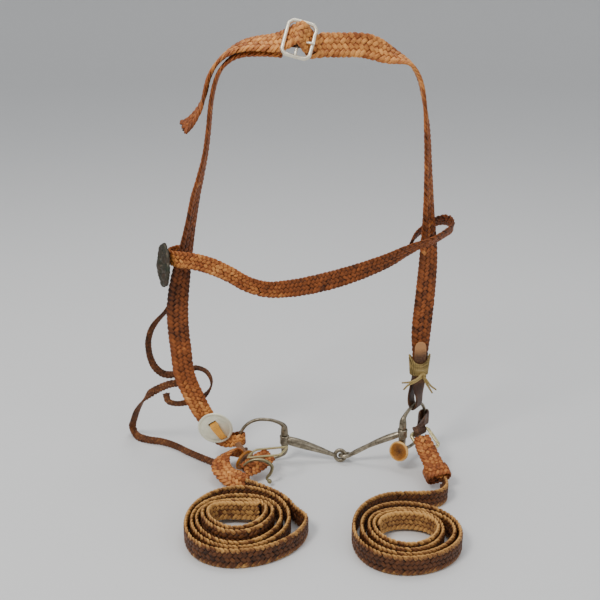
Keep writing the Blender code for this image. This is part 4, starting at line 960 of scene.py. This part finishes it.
def make_right_rein():
    """The right rein's chape, buckle, doubled body and keeper, its button, and the rein to its coil."""
    wire = RIGHT_PIN + TURNED * 2 * RING_R
    buckle = Plane((105.05, -18.94, -397.07), (0.8746, 0.4564, 0.1635), (-0.4705, 0.7179, 0.513))
    rows = [
        (100.5, -3.8, -394.4, 0.7, 0.35, 0.6, 0.8),
        (*buckle.at(0, 14.0, -3.6), 0.8, 0.44, 0.4),
        (*buckle.at(0, 10.1, -3.1), *buckle.u),
        (*buckle.at(0, 8.5, 0.1), *buckle.u),
        (*buckle.at(0, 10.3, 3.3), *buckle.u),
        (*buckle.at(0.5, 14.5, 4.6), 0.8, 0.44, 0.4),
        (104.2, 1, -385, 0.5, 0.15, 0.85),
        (*(wire + TURNED_OUT * 4.4 - TURNED * 7.5), 0.15, 0, 1),
        (*(wire + TURNED_OUT * 4.2), 0, 0, 1),
        (*(wire + TURNED * 4.4), 0, 0, 1),
        (*(wire - TURNED_OUT * 4.2), 0, 0, 1),
        (*(wire - TURNED_OUT * 2.8 - TURNED * 8), 0, 0, 1, 0.95),
        (100.9, 4.2, -390.6, 0.2, 0.05, 1, 0.85),
    ]
    piece("rein_loop_right", [plain_strap(rows, 14.5, 2.2)], DARK, "right_rein",
          ["right_rein_loop"], smooth=180)
    facing = (0.9, 0.28, 0.05)
    rows = [
        (100.4, -22, -391.6, *facing, 0.85),
        (103.2, -29.4, -397.4, *facing, 0.97),
        (106.5, -38.6, -402.8, *facing),
        (109.5, -49, -407, *facing),
        (111.5, -60, -411.5, *facing),
        (112.8, -70.5, -414.5, *facing, 0.9),
    ]
    path = Path(rows)
    layers = []
    for offset in (-1.6, 1.6):
        shifted = []
        for row, s in zip(rows, np.linspace(0, path.length, len(rows))):
            n = path.at(np.array([s]))[2][0]
            shifted.append((*(np.array(row[:3]) + n * offset), *row[3:]))
        layers += plait(Path(shifted), 21.0, 3.2, tone=0.04, rim=0.34)
    piece("rein_body_right", layers, RUSSET, "right_rein", ["right_rein_body"],
          smooth=180)
    outline = [buckle.at(u, v) for u, v in rounded_frame(11.2, 12.0, 3.5, 4)]
    piece("rein_buckle_right", [wire_part(outline, 1.8, closed=True, per=5)], BRASS, "right_rein",
          ["right_rein_buckle_frame"])
    prong = [buckle.at(8.8, 12.0, 2.8), buckle.at(8.8, 6.0, 3.0), buckle.at(8.8, -4.0, 3.0),
             buckle.at(8.8, -12.6, 2.9)]
    piece("rein_tongue_right", [wire_part(prong, (1.0, 1.1, 1.1, 0.8))], BRASS, "right_rein_tongue",
          ["right_rein_buckle_tongue"])
    keeper = Plane((112.2, -62.0, -412.2), facing, (-0.2, 0.85, 0.45))
    outline = rounded_frame(12.6, 7.6, 6.4, 6)
    rows = [(*(keeper.centre + keeper.u * u + keeper.n * v), *keeper.v) for u, v in outline]
    strap_piece("rein_keeper_right", rows + rows[:1], 14.5, 2.6, RUSSET, "right_keeper",
                ["right_rein_keeper"], over=OVER_6, step=0.9, tone=0.05)
    disc("button_right", (76.5, -27.8, -405.7), (-0.5, -0.84, 0.22), 11.0, "right_button",
         "right_rein_button", 0.42)
    rows = [
        (116.2, -73.5, REIN_Z, 0.3, 0.05, 1, 0.95),
        (118.4, -80.5, REIN_Z, 0.1, 0, 1),
        (117.8, -88, REIN_Z, 0, 0, 1),
        (112.8, -95.4, REIN_Z, 0, 0, 1),
        (104, -100.4, REIN_Z, 0, 0, 1),
        (90, -101.8, REIN_Z, 0, 0, 1),
    ]
    reach_x = [(0, 52), (90, 48.6), (270, 49.9), (450, 41.2), (630, 44.2), (810, 34.2), (990, 33.4),
               (1170, 29.9), (1350, 29.1), (1530, 25.2), (1620, 26)]
    reach_y = [(0, 58.6), (180, 45), (360, 41), (540, 40.4), (720, 30), (900, 35.6), (1080, 25.2),
               (1260, 30.4), (1440, 20.6), (1620, 26)]
    lifts = [(0, 0), (180, 0), (360, 0), (540, 0.5), (720, 0.6), (900, 1.6), (1080, 1.6), (1260, 4),
             (1440, 2.4), (1620, 3)]
    rows += spiral((68.6, -161.0), 90, 1, reach_x, reach_y, lifts, 1530)

    # Painted light and shade on the coil's walls: the inner face lighter towards the coil's middle, both
    # faces darker near the lead. edge and rim add painted highlights to the rein's edges.
    def shade(s, side):
        late = np.clip((s - 800) / 350, 0, 1)
        return late * 0.46 - 0.14 if side < 0 else late * 0.1 - 0.2

    cord_piece("right_rein_braid", rows, REIN_W, REIN_T, REIN, "right_rein",
               ["right_rein_lead", "right_rein_coil"], REIN_CORD, "coiled", edge=0.42, rim=0.42,
               shade=shade)


make_crown()
make_browband()
make_rosette()
make_concho()
make_bit()
make_bit_ends()
make_thongs()
make_left_rein()
make_right_rein()


# ---- floor, light and camera

# A round sweep as (radius, height) in metres: flat for five metres, then curving up, so that no
# horizon line shows.
SWEEP = ((4.7, 0), (5.0, 0), (5.6, 0.05), (6.1, 0.2), (6.6, 0.55), (6.9, 1.1), (7.1, 2.0), (7.2, 3.4))
SWEEP_STEPS = 96
floor_points = [(r * math.cos(a), r * math.sin(a), FLOOR * MM + h) for r, h in SWEEP
                for a in np.arange(SWEEP_STEPS) * 2 * math.pi / SWEEP_STEPS]
floor_faces = [face[::-1] for face in grid_faces(len(SWEEP), SWEEP_STEPS)[:-1]]
floor_mesh = bpy.data.meshes.new("floor")
floor_mesh.from_pydata(floor_points, [], floor_faces)
floor_mesh.shade_smooth()
floor = bpy.data.objects.new("floor", floor_mesh)
bpy.context.scene.collection.objects.link(floor)
floor_mat = bpy.data.materials.new("floor")
floor_mat.use_nodes = True
floor_shader = floor_mat.node_tree.nodes["Principled BSDF"]
floor_shader.inputs["Base Color"].default_value = (0.74, 0.74, 0.73, 1)
floor_shader.inputs["Roughness"].default_value = 0.9
floor_mesh.materials.append(floor_mat)

world = bpy.data.worlds.new("studio")
bpy.context.scene.world = world
world.use_nodes = True
background = world.node_tree.nodes["Background"]
background.inputs["Color"].default_value = (0.86, 0.88, 0.92, 1)
background.inputs["Strength"].default_value = 0.72


def area(name, place, target, size, power, colour=(1, 1, 1)):
    """A rectangular light in metres and watts, aimed at a target."""
    light = bpy.data.lights.new(name, "AREA")
    light.shape = "RECTANGLE"
    light.size, light.size_y = size
    light.energy = power
    light.color = colour
    obj = bpy.data.objects.new(name, light)
    obj.location = place
    obj.rotation_euler = (Vector(target) - Vector(place)).to_track_quat("-Z", "Y").to_euler()
    bpy.context.scene.collection.objects.link(obj)


area("key", (-0.9, -1.0, 1.3), (0, 0, -0.25), (0.55, 0.55), 22, (1.0, 0.98, 0.95))
area("fill", (1.3, -1.1, 0.5), (0, 0, -0.25), (0.9, 0.9), 5, (0.93, 0.96, 1.0))
area("top", (0.1, 0.35, 1.4), (0, 0, -0.2), (1.0, 0.6), 8)

camera_data = bpy.data.cameras.new("camera")
camera_data.lens = 50
camera_data.sensor_width = 36
camera = bpy.data.objects.new("camera", camera_data)
camera.location = (-0.030, -0.82, 0.044)
camera.rotation_euler = (math.radians(70.7), 0, 0)
bpy.context.scene.collection.objects.link(camera)
bpy.context.scene.camera = camera
